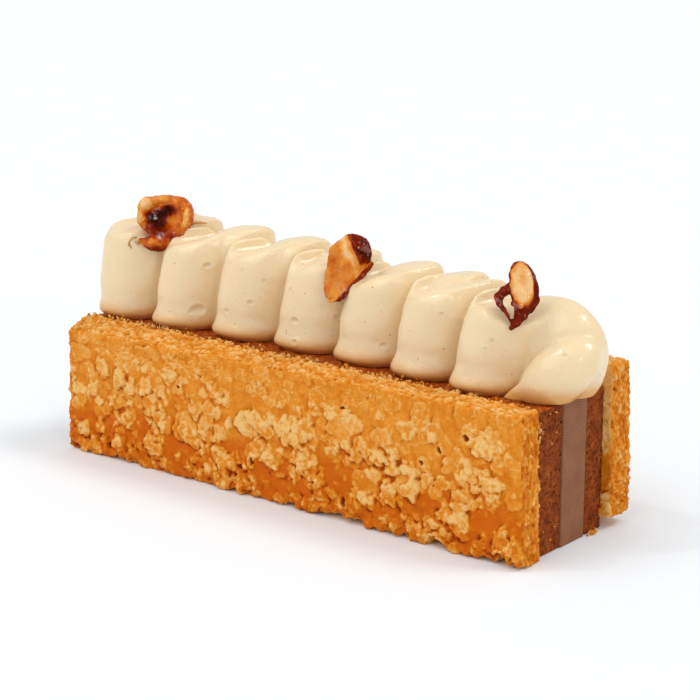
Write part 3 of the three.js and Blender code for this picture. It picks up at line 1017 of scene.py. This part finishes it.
def back_bend(index):
    """The sizes of a back bend."""
    half_width = 6.6 if index < 4 else 5.8
    form = dict(
        x=BEND_ENDS[index] - BEND_LEAN - half_width, y=3.6, top=CREAM_BASE + (22.0 - 0.48 * index),
        half_width=half_width, front=7.5, back=7, sweep=0.1, lean=0.093, rise=0.3, lip=0.0,
        lip_edge=3.0, shoulder=4.2, foot=0.6, fall=0.7, belly=0.0,
    )
    if index == 0:
        form |= dict(top=CREAM_BASE + 21.6, fall=1.5)
    return form


def cream_forms():
    """The front lobes with the back bends between them."""
    forms = [front_lobe(0)]
    for index in range(1, STROKES):
        forms += [back_bend(index - 1), front_lobe(index)]
    return forms


def cream_field(place, settings):
    """About how far each place lies from the cream's surface: below zero inside the cream."""
    tuck = settings.tuck / MM
    softness = settings.crease / MM
    whole = np.full(place[0].shape, 9.0)
    for form in cream_forms():
        columns = np.flatnonzero(np.abs(place[0][:, 0, 0] - form["x"] - 3) < STROKE_REACH)
        reach = slice(columns[0], columns[-1] + 1)
        near = [axis[reach] for axis in place]
        whole[reach] = joined([whole[reach], stroke(near, tuck, **form)], softness)
    bend = egg(place, (53.8, 3.4, CREAM_BASE + 7.2), (10.4, 7, 11))
    roll = egg(place, (57.8, -1.8, CREAM_BASE + 5.0), (9.2, 5.5, 5.7), (0, -41, 35))
    tail = egg(place, (52.3, -6.8, CREAM_BASE + 1.4), (4.6, 0.9, 1.7), (0, -36, 12))
    dip = egg(place, (52.0, -7.2, CREAM_BASE + 20.6), (6.8, 7.2, 6.2))
    whole = joined([whole, bend], 3 * softness)
    whole = -joined([-whole, dip], 2)
    whole = joined([whole, roll, tail], softness)
    return np.maximum(whole, CREAM_BASE - CREAM_SINK - place[2])


def cream_finish(settings):
    """Satin nut cream: warm and pale, with painted orange bounce light and shade towards its foot, and
    grains of roasted nut.
    """
    finish = Finish(
        "cream",
        subsurface_weight=0.35,
        subsurface_radius=(1.0, 0.6, 0.35),
        subsurface_scale=0.0022,
        specular_ior_level=0.6,
    )
    low = finish.mark("low")
    cloud = finish.noise(7, detail=3)
    fine = finish.noise(0.8, detail=3)
    # Towards the foot the cream turns tan: painted orange bounce light from the crust, and painted shade
    # where the foot turns under.
    shade = low + (cloud - 0.5) * 0.3 + (fine - 0.5) * 0.12
    colour = finish.mix(settings.cream, settings.tan, finish.between(shade, -0.15, 1.0))
    few = finish.between(finish.noise(9, detail=1), 0.35, 0.5)
    specks = finish.between(finish.spots(2.2), 0.05, 0.085, 0.85, 0) * few
    dots = finish.between(finish.spots(1.1), 0.05, 0.11, 0.45, 0)
    colour = finish.mix(colour, settings.speck, specks)
    colour = finish.mix(colour, settings.speck, dots)
    pits = finish.between(finish.spots(3.7, randomness=0.95), 0.03, 0.10)
    height = finish.noise(2.6, detail=5) * 1.1 + finish.noise(0.9, detail=2) * 0.35 + pits * 0.4
    normal = finish.bumps(height, 0.22, 0.7)
    return finish.connect(base_color=colour, roughness=0.06 + 0.3 * cloud, normal=normal)


AIR_PITS = (  # along the bar, height above the base, radius and depth
    (-31.7, 4.5, 1.4, 0.5),
    (-33.0, 4.0, 0.6, 0.25),
    (-29.0, 14.5, 0.75, 0.55),
    (-16.0, 8.5, 0.75, 0.5),
    (-22.0, 6.0, 0.7, 0.3),
    (-4.0, 6.5, 0.9, 0.5),
    (-3.5, 2.2, 0.7, 0.3),
    (-5.0, 13.0, 0.5, 0.35),
    (-13.0, 13.5, 0.4, 0.3),
    (4.5, 8.0, 0.6, 0.4),
    (18.0, 4.5, 0.7, 0.3),
    (34.0, 14.0, 0.5, 0.35),
    (47.0, 11.0, 0.6, 0.35),
    (45.8, 9.4, 0.4, 0.25),
    (60.5, 9.6, 0.5, 0.3),
)


def press_pits(points, normals, pits):
    """Presses small air pits into the front of the cream."""
    for along, up, radius, depth in pits:
        around = (np.abs(points[:, 0] - along) < 0.5) & (np.abs(points[:, 2] - CREAM_BASE - up) < 0.5)
        if not around.any():
            continue
        front = points[around, 1].min()
        centre = np.array([along, front, CREAM_BASE + up])
        distance = np.linalg.norm((points - centre) / (radius, 2, 0.8 * radius), axis=1)
        dent = depth * fade(distance, 0.3, 1.1) - 0.12 * bump(distance, 1.25, 0.3)
        points -= normals * dent[:, None]
    return points


class PipeCream(bpy.types.Operator):
    """Makes the piped wave of nut cream"""

    bl_idname = "mille_feuille.pipe_cream"
    bl_label = "Pipe the cream"

    def execute(self, context):
        settings = context.scene.slice_cream
        low, high = millimetres("cream")
        low, high = low - CREAM_MARGIN, high + CREAM_MARGIN
        step = settings.step / MM
        place = grid_places(low, high, step)
        field = cream_field(place, settings)
        points, faces = wrap_field(field, low, step)
        if len(points) == 0:
            raise RuntimeError("the cream came out empty")
        points = settle(relax(points, faces, 3), field, low, step)
        normals = outward_normals(points, faces)
        unevenness = 0.16 * noise(*(points.T / 6), seed=31) + 0.05 * noise(*(points.T / 2), seed=32)
        free = smoothstep(points[:, 2], CREAM_BASE - CREAM_SINK, CREAM_BASE + 0.5)
        points = points + normals * (unevenness * free)[:, None]
        points = press_pits(points, normals, AIR_PITS)
        # The low mark carries the painted bounce light and shade near the foot.
        marks = {"low": fade(points[:, 2], CREAM_BASE - 0.2, CREAM_BASE + 4.5)}
        add_piece("piped_cream", points, faces, cream_finish(settings), "cream", marks)
        return {"FINISHED"}


# ---- Nuts ----


def nut_finish(settings):
    """Hazelnut and caramel: pale kernel, amber film, dark skin and burnt edges, all under gloss."""
    finish = Finish(
        "caramelised_nut",
        coat_roughness=0.06,
        coat_ior=1.9,
        specular_ior_level=0.02,
        subsurface_weight=0.1,
        subsurface_radius=(1.0, 0.4, 0.1),
        subsurface_scale=0.001,
    )
    tone = finish.mark("tone")
    fine = finish.noise(0.7, detail=4, roughness=0.6)
    upright = {0: finish.place, 1: (1, 1, 0.4)}
    upright = finish.node("ShaderNodeVectorMath", {"operation": "MULTIPLY"}, upright)
    streaks = finish.noise(1.6, detail=3, place=upright)
    level = tone + (fine - 0.5) * 0.16 + (streaks - 0.5) * 0.22
    dark = (0.0, settings.burnt), (0.24, settings.skin), (0.42, paint(176, 66, 2))
    light = (0.56, settings.amber), (0.76, paint(226, 146, 48)), (1.0, settings.kernel)
    colour = finish.ramp(level, *dark, *light)
    normal = finish.bumps(finish.noise(1.3, detail=3) + fine * 0.3, 0.45, 0.85)
    gloss = finish.between(level, 0.2, 0.9, 0.16, 0.38)
    wet = finish.between(finish.noise(0.7, detail=1) + finish.mark("wet") * 0.2, 0.66, 0.71)
    coat = finish.between(level, 0.1, 0.7, 0.02, 0.2) + wet * 0.8
    return finish.connect(base_color=colour, roughness=gloss, coat_weight=coat, normal=normal)


def eggs(place, sizes):
    """One egg for each row of sizes."""
    return [egg(place, *size) for size in sizes]


def patch(across, up, centre, size, inner, outer):
    """1 in the middle of a patch, and 0 beyond its edge."""
    away = np.hypot((across - centre[0]) / size[0], (up - centre[1]) / size[1])
    return fade(away, inner, outer)


CUPPED_LUMPS = (  # the middle, radii, turn and boxiness of each
    ((0, 0, 1.6), (6.0, 4.2, 4.3), (0, 0, 0), 2.6),
    ((4.6, -2.6, 1.0), (1.5, 2.4, 2.9), (0, 12, 0)),
    ((-4.0, -1.8, 3.4), (1.9, 2.6, 2.1)),
    ((-5.0, -1.4, 0.9), (1.3, 2.4, 1.9)),
    ((0.4, -1.2, -2.3), (4.4, 2.8, 2.3), (0, 14, 0)),
    ((-1.2, -1.9, -4.4), (3.7, 2.6, 1.8), (0, -8, 0)),
    ((-4.2, -1.8, -4.2), (1.7, 1.1, 0.6), (0, 14, 0)),
)
CUPPED_HOLLOWS = (
    ((-1.0, -5.2, 1.2), (4.2, 3.9, 3.6), (0, -20, 0)),
    ((2.2, -4.9, 2.0), (1.5, 1.7, 2.3), (0, -30, 0)),
    ((-5.2, -3.6, -1.3), (1.7, 1.6, 1.2)),
)
CUPPED_PATCHES = (  # the middle across and up, half the size both ways, inner and outer edge, lightness
    ((-1.9, 0.8), (3.0, 2.3), 0.35, 1.15, -0.48),
    ((0.4, 2.6), (2.3, 1.5), 0.2, 1.2, -0.42),
    ((-1.4, -1.8), (3.0, 1.5), 0.3, 1.2, -0.3),
    ((-4.2, 3.8), (1.8, 1.9), 0.4, 1.1, 0.46),
    ((-5.4, 1.0), (1.2, 1.9), 0.4, 1.1, 0.36),
    ((4.7, 1.0), (1.1, 2.6), 0.4, 1.1, 0.34),
    ((3.9, -1.0), (0.9, 1.2), 0.4, 1.1, 0.3),
    ((2.2, 0.2), (1.6, 1.6), 0.4, 1.1, 0.1),
    ((-3.2, -4.2), (1.5, 0.7), 0.4, 1.1, 0.12),
    ((-1.5, 5.2), (2.2, 0.8), 0.4, 1.1, 0.16),
)


def cupped_nut(place):
    """Half a nut whose hollow is filled with caramel, over a lobe that ran down to the left."""
    body = joined(eggs(place, CUPPED_LUMPS), 0.7)
    return -joined([-body, *eggs(place, CUPPED_HOLLOWS)], 0.9)


def cupped_tone(points):
    """Black-brown in the hollow's middle, amber to its lower right, and gold on the bulges."""
    x, y, z = points.T
    across, up = x + 0.35 * noise(x, y, z, seed=52), z + 0.35 * noise(x, y, z, seed=53)
    tone = 0.55 + 0.1 * bump(across, 0.5, 2.5) * bump(up, 5.2, 1.2)
    for *place, lightness in CUPPED_PATCHES:
        tone = tone + lightness * patch(across, up, *place)
    tone = tone - 0.05 - 0.16 * bump(up, -3.3, 0.7) - 0.3 * smoothstep(-up, 5.0, 6.2)
    return np.clip(tone - 0.15 * (y > 1.5), 0, 1)


SHARD_FACES = (  # the way each broken face looks, and how far it lies from the middle
    ((-0.986, 0, 0.164), 4.2),
    ((-0.58, 0, 0.81), 5.2),
    ((0.63, 0, 0.776), 5.2),
    ((0.98, 0, 0.2), 4.8),
    ((0.738, 0, -0.674), 3.1),
    ((-0.1, 0, -0.99), 7.2),
    ((-0.9, 0, -0.43), 6.8),
    ((-0.42, -0.9, -0.1), 2.3),
    ((0.05, -0.95, 0.3), 2.8),
    ((0.62, -0.75, -0.22), 2.5),
    ((0, 1, 0), 3.0),
)
SHARD_CRISPNESS = 18
SHARD_RIM = (  # places along the bead of caramel, each with the bead's radius
    (4.7, -0.5, 0.3, 0.5), (2.5, -1.1, -2.3, 0.5), (0.2, -1.1, -5.1, 0.5), (-1.9, -0.9, -6.8, 0.45),
    (-3.8, -0.5, -7.2, 0.35),
)


def shard_nut(place):
    """A broken chunk with flat faces, a round skinned corner and a bead of caramel along its foot."""
    total = 0.0
    for way, distance in SHARD_FACES:
        along = sum(place[axis] * way[axis] for axis in range(3)) / math.hypot(*way)
        total = total + (np.maximum(0, along) / distance) ** SHARD_CRISPNESS
    chunk = 4 * (total ** (1 / SHARD_CRISPNESS) - 1)
    skinned = egg(place, (2.0, -0.1, 3.2), (2.6, 3.1, 3.3), (0, -25, 0))
    return joined([chunk, skinned, strand(place, SHARD_RIM)], 0.35)


def shard_tone(points):
    """Pale along the broken ridge, dark on the skinned corner and brown on the bead."""
    x, y, z = points.T
    skin = smoothstep(x + 0.42 * z, 2.1, 2.7) * smoothstep(z - 0.35 * x, -1.2, -0.6)
    bead = smoothstep(0.738 * x - 0.674 * z, 2.75, 3.15) * (1 - skin)
    ridge = bump(x + 0.25 * z, 0.3, 0.9) * smoothstep(z, 0.2, 2.2)
    facet = smoothstep(x + 0.3 * z, 0.3, 0.9) * fade(z, 1.5, 3.0)
    streak = noise(x / 0.5, y / 0.5, (z + 0.5 * x) / 2.2, seed=56)
    foot = smoothstep(-z, 3.5, 5.5) * smoothstep(x, -3.5, -1.5)
    tone = 0.63 + 0.3 * ridge + 0.16 * facet + 0.12 * foot
    tone = tone - 0.14 * bump(x - 0.3 * z, -3.4, 0.8) * bump(z, 1.0, 1.0)
    dark = 0.2 + 0.16 * streak - 0.2 * bump(z + 0.5 * x, 3.6, 1.0) + 0.12 * bump(x + 0.4 * z, 2.9, 0.4)
    tone = blend(tone, np.clip(dark, 0, 1), skin)
    return blend(tone, 0.26, np.maximum(bead, 0.6 * (y > 0.8)))


KERNEL_TILT = (0, -9, 0)
KERNEL_TAIL = (  # places along the caramel that runs down, each with its radius there
    (2.0, 0, -2.2, 0.95), (0.9, -0.2, -4.0, 0.85), (-0.2, -0.4, -5.5, 0.65), (-1.3, -0.6, -6.4, 0.4),
)
KERNEL_EDGE = (  # the bead along the kernel's left edge
    (-1.6, -0.3, 1.8, 0.35), (-1.2, -0.5, 0.2, 0.4), (-0.6, -0.8, -1.3, 0.55), (-0.1, -0.8, -2.5, 0.75),
    (-0.4, -0.7, -4.0, 0.5), (-1.0, -0.6, -5.8, 0.35),
)
KERNEL_WEB = (  # the loop beside it
    (-1.4, 0, 1.5, 0.75), (-2.6, -0.1, 0.5, 0.95), (-3.6, -0.1, -0.5, 0.85), (-3.5, -0.1, -1.7, 0.6),
    (-2.6, -0.2, -2.9, 0.45), (-1.8, -0.3, -4.1, 0.38), (-1.3, -0.4, -5.3, 0.35),
)


def kernel_nut(place):
    """A pale half kernel in a thick rim of caramel that runs down to a tip, with a loop beside it."""
    kernel = egg(place, (0.7, -0.5, 1.7), (2.2, 1.7, 4.5), KERNEL_TILT, 2.3)
    kernel = -joined([-kernel, place[1] + 1.55], 0.4)
    rim = egg(place, (1.4, 0.5, 1.2), (2.6, 1.7, 5.0), KERNEL_TILT)
    drop = egg(place, (-0.9, 0.3, -1.8), (0.5, 0.5, 0.6))
    caramel = [strand(place, route) for route in (KERNEL_TAIL, KERNEL_EDGE, KERNEL_WEB)]
    return joined([kernel, rim, drop, *caramel], 0.3)


def kernel_tone(points):
    """A pale face on the kernel, darker at its tip, in dark caramel."""
    x, y, z = points.T
    offset = turned(KERNEL_TILT).T @ np.stack([x - 0.7, y, z - 1.7])
    away = np.hypot(offset[0] / 2.2, offset[2] / 4.5) + 0.14 * noise(x / 1.1, y / 2, z / 1.5, seed=58)
    face = fade(away, 0.9, 1.04) * smoothstep(-y, 0.6, 1.0)
    tip = smoothstep(-offset[2], 2.4, 3.9)
    return blend(0.22 - 0.05 * x / 4, 0.97 - 0.16 * bump(away, 0.9, 0.12) - 0.3 * tip, face)


NUT_TURN = (-15.0, 0.0, 38.9)  # makes a nut's X run across the camera's view, and its Z up it
NUTS = (  # name, node, field, tone and middle
    ("left_nut", "nut_left", cupped_nut, cupped_tone, (-43.5, -3.6, 51.0)),
    ("middle_nut", "nut_middle", shard_nut, shard_tone, (8.4, -4.8, 48.9)),
    ("right_nut", "nut_right", kernel_nut, kernel_tone, (50.3, -5.8, 49.4)),
)
NUT_REACH = 8.6  # nothing of a nut lies further from its middle
WET_PLACES = {  # where across and up each nut's caramel shines most, and half the size there
    "left_nut": ((-3.0, 1.2, 1.6), (-2.2, 3.2, 1.3), (-1.0, -3.4, 1.2)),
    "middle_nut": ((3.2, 3.4, 1.6), (-1.0, -4.6, 1.8), (-0.6, 2.2, 1.2)),
    "right_nut": ((-3.3, -1.2, 1.6), (-0.4, -2.4, 1.4), (2.2, 3.0, 1.5)),
}


def wet_mark(points, name):
    """How wet the caramel is: 1 where it shines most and 0 elsewhere."""
    wet = [
        patch(points[:, 0], points[:, 2], (across, up), (size, size), 0.4, 1.2)
        for across, up, size in WET_PLACES[name]
    ]
    return np.max(wet, axis=0)


class PlaceNuts(bpy.types.Operator):
    """Makes the three pieces of caramelised hazelnut"""

    bl_idname = "mille_feuille.place_nuts"
    bl_label = "Place the nuts"

    def execute(self, context):
        settings = context.scene.slice_nuts
        finish = nut_finish(settings)
        step = settings.step / MM
        low = np.full(3, -NUT_REACH)
        place = grid_places(low, -low, step)
        for name, node, field, toner, middle in NUTS:
            points, faces = wrap_field(field(place), low, step)
            points = relax(points, faces, 2)
            x, y, z = points.T
            tone = toner(points) + 0.12 * rough(x / 1.8, y / 1.8, z / 2.6, seed=47)
            marks = {"tone": tone, "wet": wet_mark(points, name)}
            swell = 0.2 * rough(*(points.T / 2.4), seed=41) + 0.06 * noise(*(points.T / 0.8), seed=44)
            points = points + outward_normals(points, faces) * swell[:, None]
            points = points @ turned(NUT_TURN).T + middle
            add_piece(name, points, faces, finish, node, marks)
        return {"FINISHED"}


# ---- Crumbs ----

TOP_CRUMBS = 230  # on the front crust's top edge
SPLINTERS = 34
SPLINTER_CLUMPS = (-41, -39, -36, -12, -9, 5, 24, 44)  # where along the bar they stand together
SPLINTER_RADII = (0.1, 0.08, 0.03)


def crumb_cloud(rng, places, sizes):
    """Small jagged lumps, one at each place, and which lump every point belongs to."""
    lump = bmesh.new()
    bmesh.ops.create_icosphere(lump, subdivisions=2, radius=1)
    shape = np.array([corner.co for corner in lump.verts])
    faces = np.array([[corner.index for corner in face.verts] for face in lump.faces])
    lump.free()
    points, all_faces = [], []
    for number, (place, size) in enumerate(zip(places, sizes)):
        dents = 1 + 0.35 * rough(*(shape * 1.3 + rng.uniform(0, 99, 3)).T, seed=3)
        stretch = rng.uniform(0.5, 1.3, 3) * (1, 1, 0.8)
        spin = turned(rng.uniform(0, 360, 3))
        points.append(size * (shape * dents[:, None] * stretch) @ spin.T + place)
        all_faces.append(faces + number * len(shape))
    owner = np.repeat(np.arange(len(places)), len(shape))
    return np.concatenate(points), np.concatenate(all_faces), owner


def rod(route, sides):
    """A thin rod with closed ends along a route of points, each followed by the rod's radius there."""
    route, radii = np.split(np.asarray(route, float), [3], axis=1)
    ways = np.gradient(route, axis=0)
    first = np.cross(ways, (0.3, 0.5, 0.8))
    first = first / np.linalg.norm(first, axis=1, keepdims=True)
    second = np.cross(ways, first)
    second = second / np.linalg.norm(second, axis=1, keepdims=True)
    angles = 2 * math.pi * np.arange(sides) / sides
    around = first[:, None] * np.cos(angles)[:, None] + second[:, None] * np.sin(angles)[:, None]
    points = route[:, None] + radii[:, None] * around
    last = (len(route) - 1) * sides
    faces = []
    for ring in range(0, last, sides):
        for side in range(sides):
            here, beside = ring + side, ring + (side + 1) % sides
            faces.append((here, beside, beside + sides, here + sides))
    faces += [tuple(reversed(range(sides))), tuple(range(last, last + sides))]
    return points.reshape(-1, 3), faces


def gathered(parts):
    """Puts pairs of points and faces together as one."""
    points, faces, start = [], [], 0
    for some, some_faces in parts:
        points.append(some)
        faces.extend(tuple(int(corner) + start for corner in face) for face in some_faces)
        start += len(some)
    return np.concatenate(points), faces


def crumb_places(rng):
    """Where loose crumbs lie, their sizes and their tones."""
    low, high = millimetres(FRONT.node)
    edge, top, end = high[1], FRONT.height, HALF_LENGTH
    lots = []
    for count, x, y, z, sizes, tones, clumped in (
        (330, (-58, 58), (edge - 0.5, edge + 0.5), (top - 0.1, top + 0.2), (0.16, 0.42), (0.5, 1.0), 1),
        (90, (-58, 50), (edge + 0.4, -10.2), (top - 0.2, top), (0.14, 0.32), (0.1, 0.5), 1.0),
        (24, (-52, 50), (-10.6, -9.2), (top, top + 0.2), (0.14, 0.36), (0.4, 0.9), 1.0),
        (48, (end, end + 0.2), (edge - 0.25, edge + 0.35), (1, 29), (0.14, 0.34), (0.5, 1.0), 0.6),
        (14, (end + 0.2, end + 1), (6.0, 8.2), (0.2, 0.9), (0.2, 0.5), (0.5, 0.9), 0.0),
        (9, (end, end + 0.3), (edge + 1, -5.5), (0.5, 29), (0.12, 0.24), (0.6, 0.9), 0.0),
    ):
        places = np.stack([rng.uniform(*span, count) for span in (x, y, z)], axis=1)
        crowd = noise(places[:, 0] / 3, places[:, 2] / 3, seed=61)
        lots.append((places, rng.uniform(*sizes, count), rng.uniform(*tones, count), crowd, clumped))
    along, depth = rng.uniform(0.01, 0.99, TOP_CRUMBS), rng.uniform(0, 0.9, TOP_CRUMBS)
    sunk = FRONT.edge_drop * (1 - along) * depth
    on_top = np.stack([blend(-end, end, along), blend(edge, low[1], depth), top + 0.1 - sunk], axis=1)
    crowd = noise(on_top[:, 0] / 4, on_top[:, 1] / 2, seed=62)
    sizes, tones = rng.uniform(0.14, 0.36, TOP_CRUMBS), rng.uniform(0.6, 1.0, TOP_CRUMBS)
    lots.append((on_top, sizes, tones, crowd, 0.8))
    kept = []
    for places, sizes, tones, crowd, clumped in lots:
        chosen = crowd >= clumped * rng.uniform(-1, 1, len(crowd)) - (clumped == 0)
        kept.append((places[chosen], sizes[chosen], tones[chosen]))
    return [np.concatenate(column) for column in zip(*kept)]


def splinters(rng, count):
    """Fine upright splinters along the inner top edge of the front crust."""
    edge = millimetres(FRONT.node)[1][1]
    parts = []
    for _ in range(count):
        clump = rng.choice(SPLINTER_CLUMPS)
        root = np.array([clump + rng.normal(0, 1.2), edge + rng.uniform(-0.6, 0.3), FRONT.height - 0.1])
        reach = np.array([rng.normal(0, 0.45), rng.normal(0, 0.3), rng.uniform(0.5, 1.3)])
        bend = np.array([rng.normal(0, 0.2), rng.normal(0, 0.2), 0.1])
        places = (root, root + 0.5 * reach + bend, root + reach)
        parts.append(rod([(*place, radius) for place, radius in zip(places, SPLINTER_RADII)], 5))
    return parts


CARAMEL_THREADS = (  # places along each and the radius there: one behind the left nut, a drip before it
    (
        (-39.9, -2.0, 51.0, 0.6), (-39.2, -1.1, 51.2, 0.44), (-38.4, 0.2, 51.1, 0.32),
        (-37.9, 1.6, 50.9, 0.26), (-37.4, 2.8, 50.6, 0.12),
    ),
    (
        (-48.0, -8.3, 47.9, 0.14), (-48.7, -8.9, 47.7, 0.3), (-49.2, -9.35, 47.0, 0.22),
        (-49.2, -9.5, 46.2, 0.32), (-48.7, -9.25, 45.5, 0.12),
    ),
    ((-48.2, -8.75, 46.9, 0.16), (-47.7, -8.4, 46.6, 0.38), (-47.2, -8.0, 46.8, 0.2)),
)


class ScatterCrumbs(bpy.types.Operator):
    """Makes the loose pastry crumbs and the spilt threads of caramel"""

    bl_idname = "mille_feuille.scatter_crumbs"
    bl_label = "Scatter the crumbs"

    def execute(self, context):
        settings = context.scene.slice_pastry
        rng = np.random.default_rng(settings.seed + 7)
        crust = bpy.data.materials["crust"]
        places, sizes, tones = crumb_places(rng)
        points, faces, owner = crumb_cloud(rng, places, sizes)
        points, faces = gathered([(points, faces), *splinters(rng, SPLINTERS)])
        tone = np.full(len(points), 0.95)
        tone[: len(owner)] = tones[owner]
        add_piece("pastry_crumbs", points, faces, crust, None, {"tone": tone, "pit": 0 * tone})
        points, faces = gathered([rod(route, 7) for route in CARAMEL_THREADS])
        plain_caramel = bpy.data.materials["caramelised_nut"]  # the frame's own, of one colour
        add_piece("caramel_threads", points, faces, plain_caramel, None, {})
        return {"FINISHED"}


# ---- Stage ----

FLOOR_SIZE = 8.0
FLOOR_CORNERS = ((-1, -1, 0), (1, -1, 0), (1, 1, 0), (-1, 1, 0))
SUNS = (  # name, how wide it looks, and where it stands: turned from the front to the right, and up
    ("key", 55, (-24, 50)),
    ("rim", 20, (125, 56)),
    ("side", 10, (62, 24)),
    ("glint", 2, (-50, 62)),
)
CAMERA_PLACE = (0.25532, -0.31024, 0.13651)
CAMERA_PITCH = 75.0
CAMERA_TURN = 38.9
SENSOR = 36.0
FOCAL_LENGTH = 2.84767143 * SENSOR
FARTHEST = 20.0  # the camera shows nothing beyond this


def add_sun(name, strength, angle, toward):
    """A distant lamp that is as wide as an angle in degrees."""
    lamp = bpy.data.lights.new(name, "SUN")
    lamp.energy = strength
    lamp.angle = math.radians(angle)
    lit = bpy.data.objects.new(name, lamp)
    azimuth, elevation = (math.radians(value) for value in toward)
    lit.rotation_euler = (math.pi / 2 - elevation, 0, azimuth)
    bpy.context.scene.collection.objects.link(lit)


class SetStage(bpy.types.Operator):
    """Makes the floor, the lights and the camera"""

    bl_idname = "mille_feuille.set_stage"
    bl_label = "Set the stage"

    def execute(self, context):
        settings = context.scene.slice_stage
        scene = context.scene
        mesh = bpy.data.meshes.new("floor")
        mesh.from_pydata((np.array(FLOOR_CORNERS) * FLOOR_SIZE / 2).tolist(), [], [(0, 1, 2, 3)])
        finish = Finish("floor_paint", roughness=0.9, specular_ior_level=0.1)
        finish.shader.inputs["Base Color"].default_value = settings.floor
        mesh.materials.append(finish.material)
        floor = bpy.data.objects.new("floor", mesh)
        scene.collection.objects.link(floor)
        world = bpy.data.worlds.new("sky")
        world.use_nodes = True
        background = world.node_tree.nodes["Background"].inputs
        background["Strength"].default_value = settings.sky
        background["Color"].default_value = (1, 1, 1, 1)
        scene.world = world
        for name, angle, toward in SUNS:
            add_sun(name, getattr(settings, name), angle, toward)
        lens = bpy.data.cameras.new("view")
        lens.lens = FOCAL_LENGTH
        lens.sensor_width = SENSOR
        lens.clip_end = FARTHEST
        camera = bpy.data.objects.new("view", lens)
        camera.location = CAMERA_PLACE
        camera.rotation_euler = (math.radians(CAMERA_PITCH), 0, math.radians(CAMERA_TURN))
        scene.collection.objects.link(camera)
        scene.camera = camera
        scene.view_settings.view_transform = "Standard"
        scene.view_settings.look = "None"
        return {"FINISHED"}


# ---- Panel and running ----

SETTINGS = {
    "slice_pastry": PastrySettings,
    "slice_filling": FillingSettings,
    "slice_cream": CreamSettings,
    "slice_nuts": NutSettings,
    "slice_stage": StageSettings,
}
STEPS = (LayPastry, LayFillings, PipeCream, PlaceNuts, ScatterCrumbs, SetStage)


class SlicePanel(bpy.types.Panel):
    """Lists the steps and their settings"""

    bl_idname = "VIEW3D_PT_mille_feuille"
    bl_label = "Mille feuille slice"
    bl_space_type = "VIEW_3D"
    bl_region_type = "UI"
    bl_category = "Slice"

    def draw(self, context):
        for step in STEPS:
            self.layout.operator(step.bl_idname)
        for name, group in SETTINGS.items():
            box = self.layout.box()
            box.label(text=group.__doc__)
            for setting in group.__annotations__:
                box.prop(getattr(context.scene, name), setting)


def register():
    for name, group in SETTINGS.items():
        bpy.utils.register_class(group)
        setattr(bpy.types.Scene, name, PointerProperty(type=group))
    for made in (*STEPS, SlicePanel):
        bpy.utils.register_class(made)


def unregister():
    for made in (SlicePanel, *reversed(STEPS)):
        bpy.utils.unregister_class(made)
    for name, group in SETTINGS.items():
        delattr(bpy.types.Scene, name)
        bpy.utils.unregister_class(group)


def main():
    register()
    for step in STEPS:
        section, action = step.bl_idname.split(".")
        getattr(getattr(bpy.ops, section), action)()


if __name__ == "__main__":
    main()
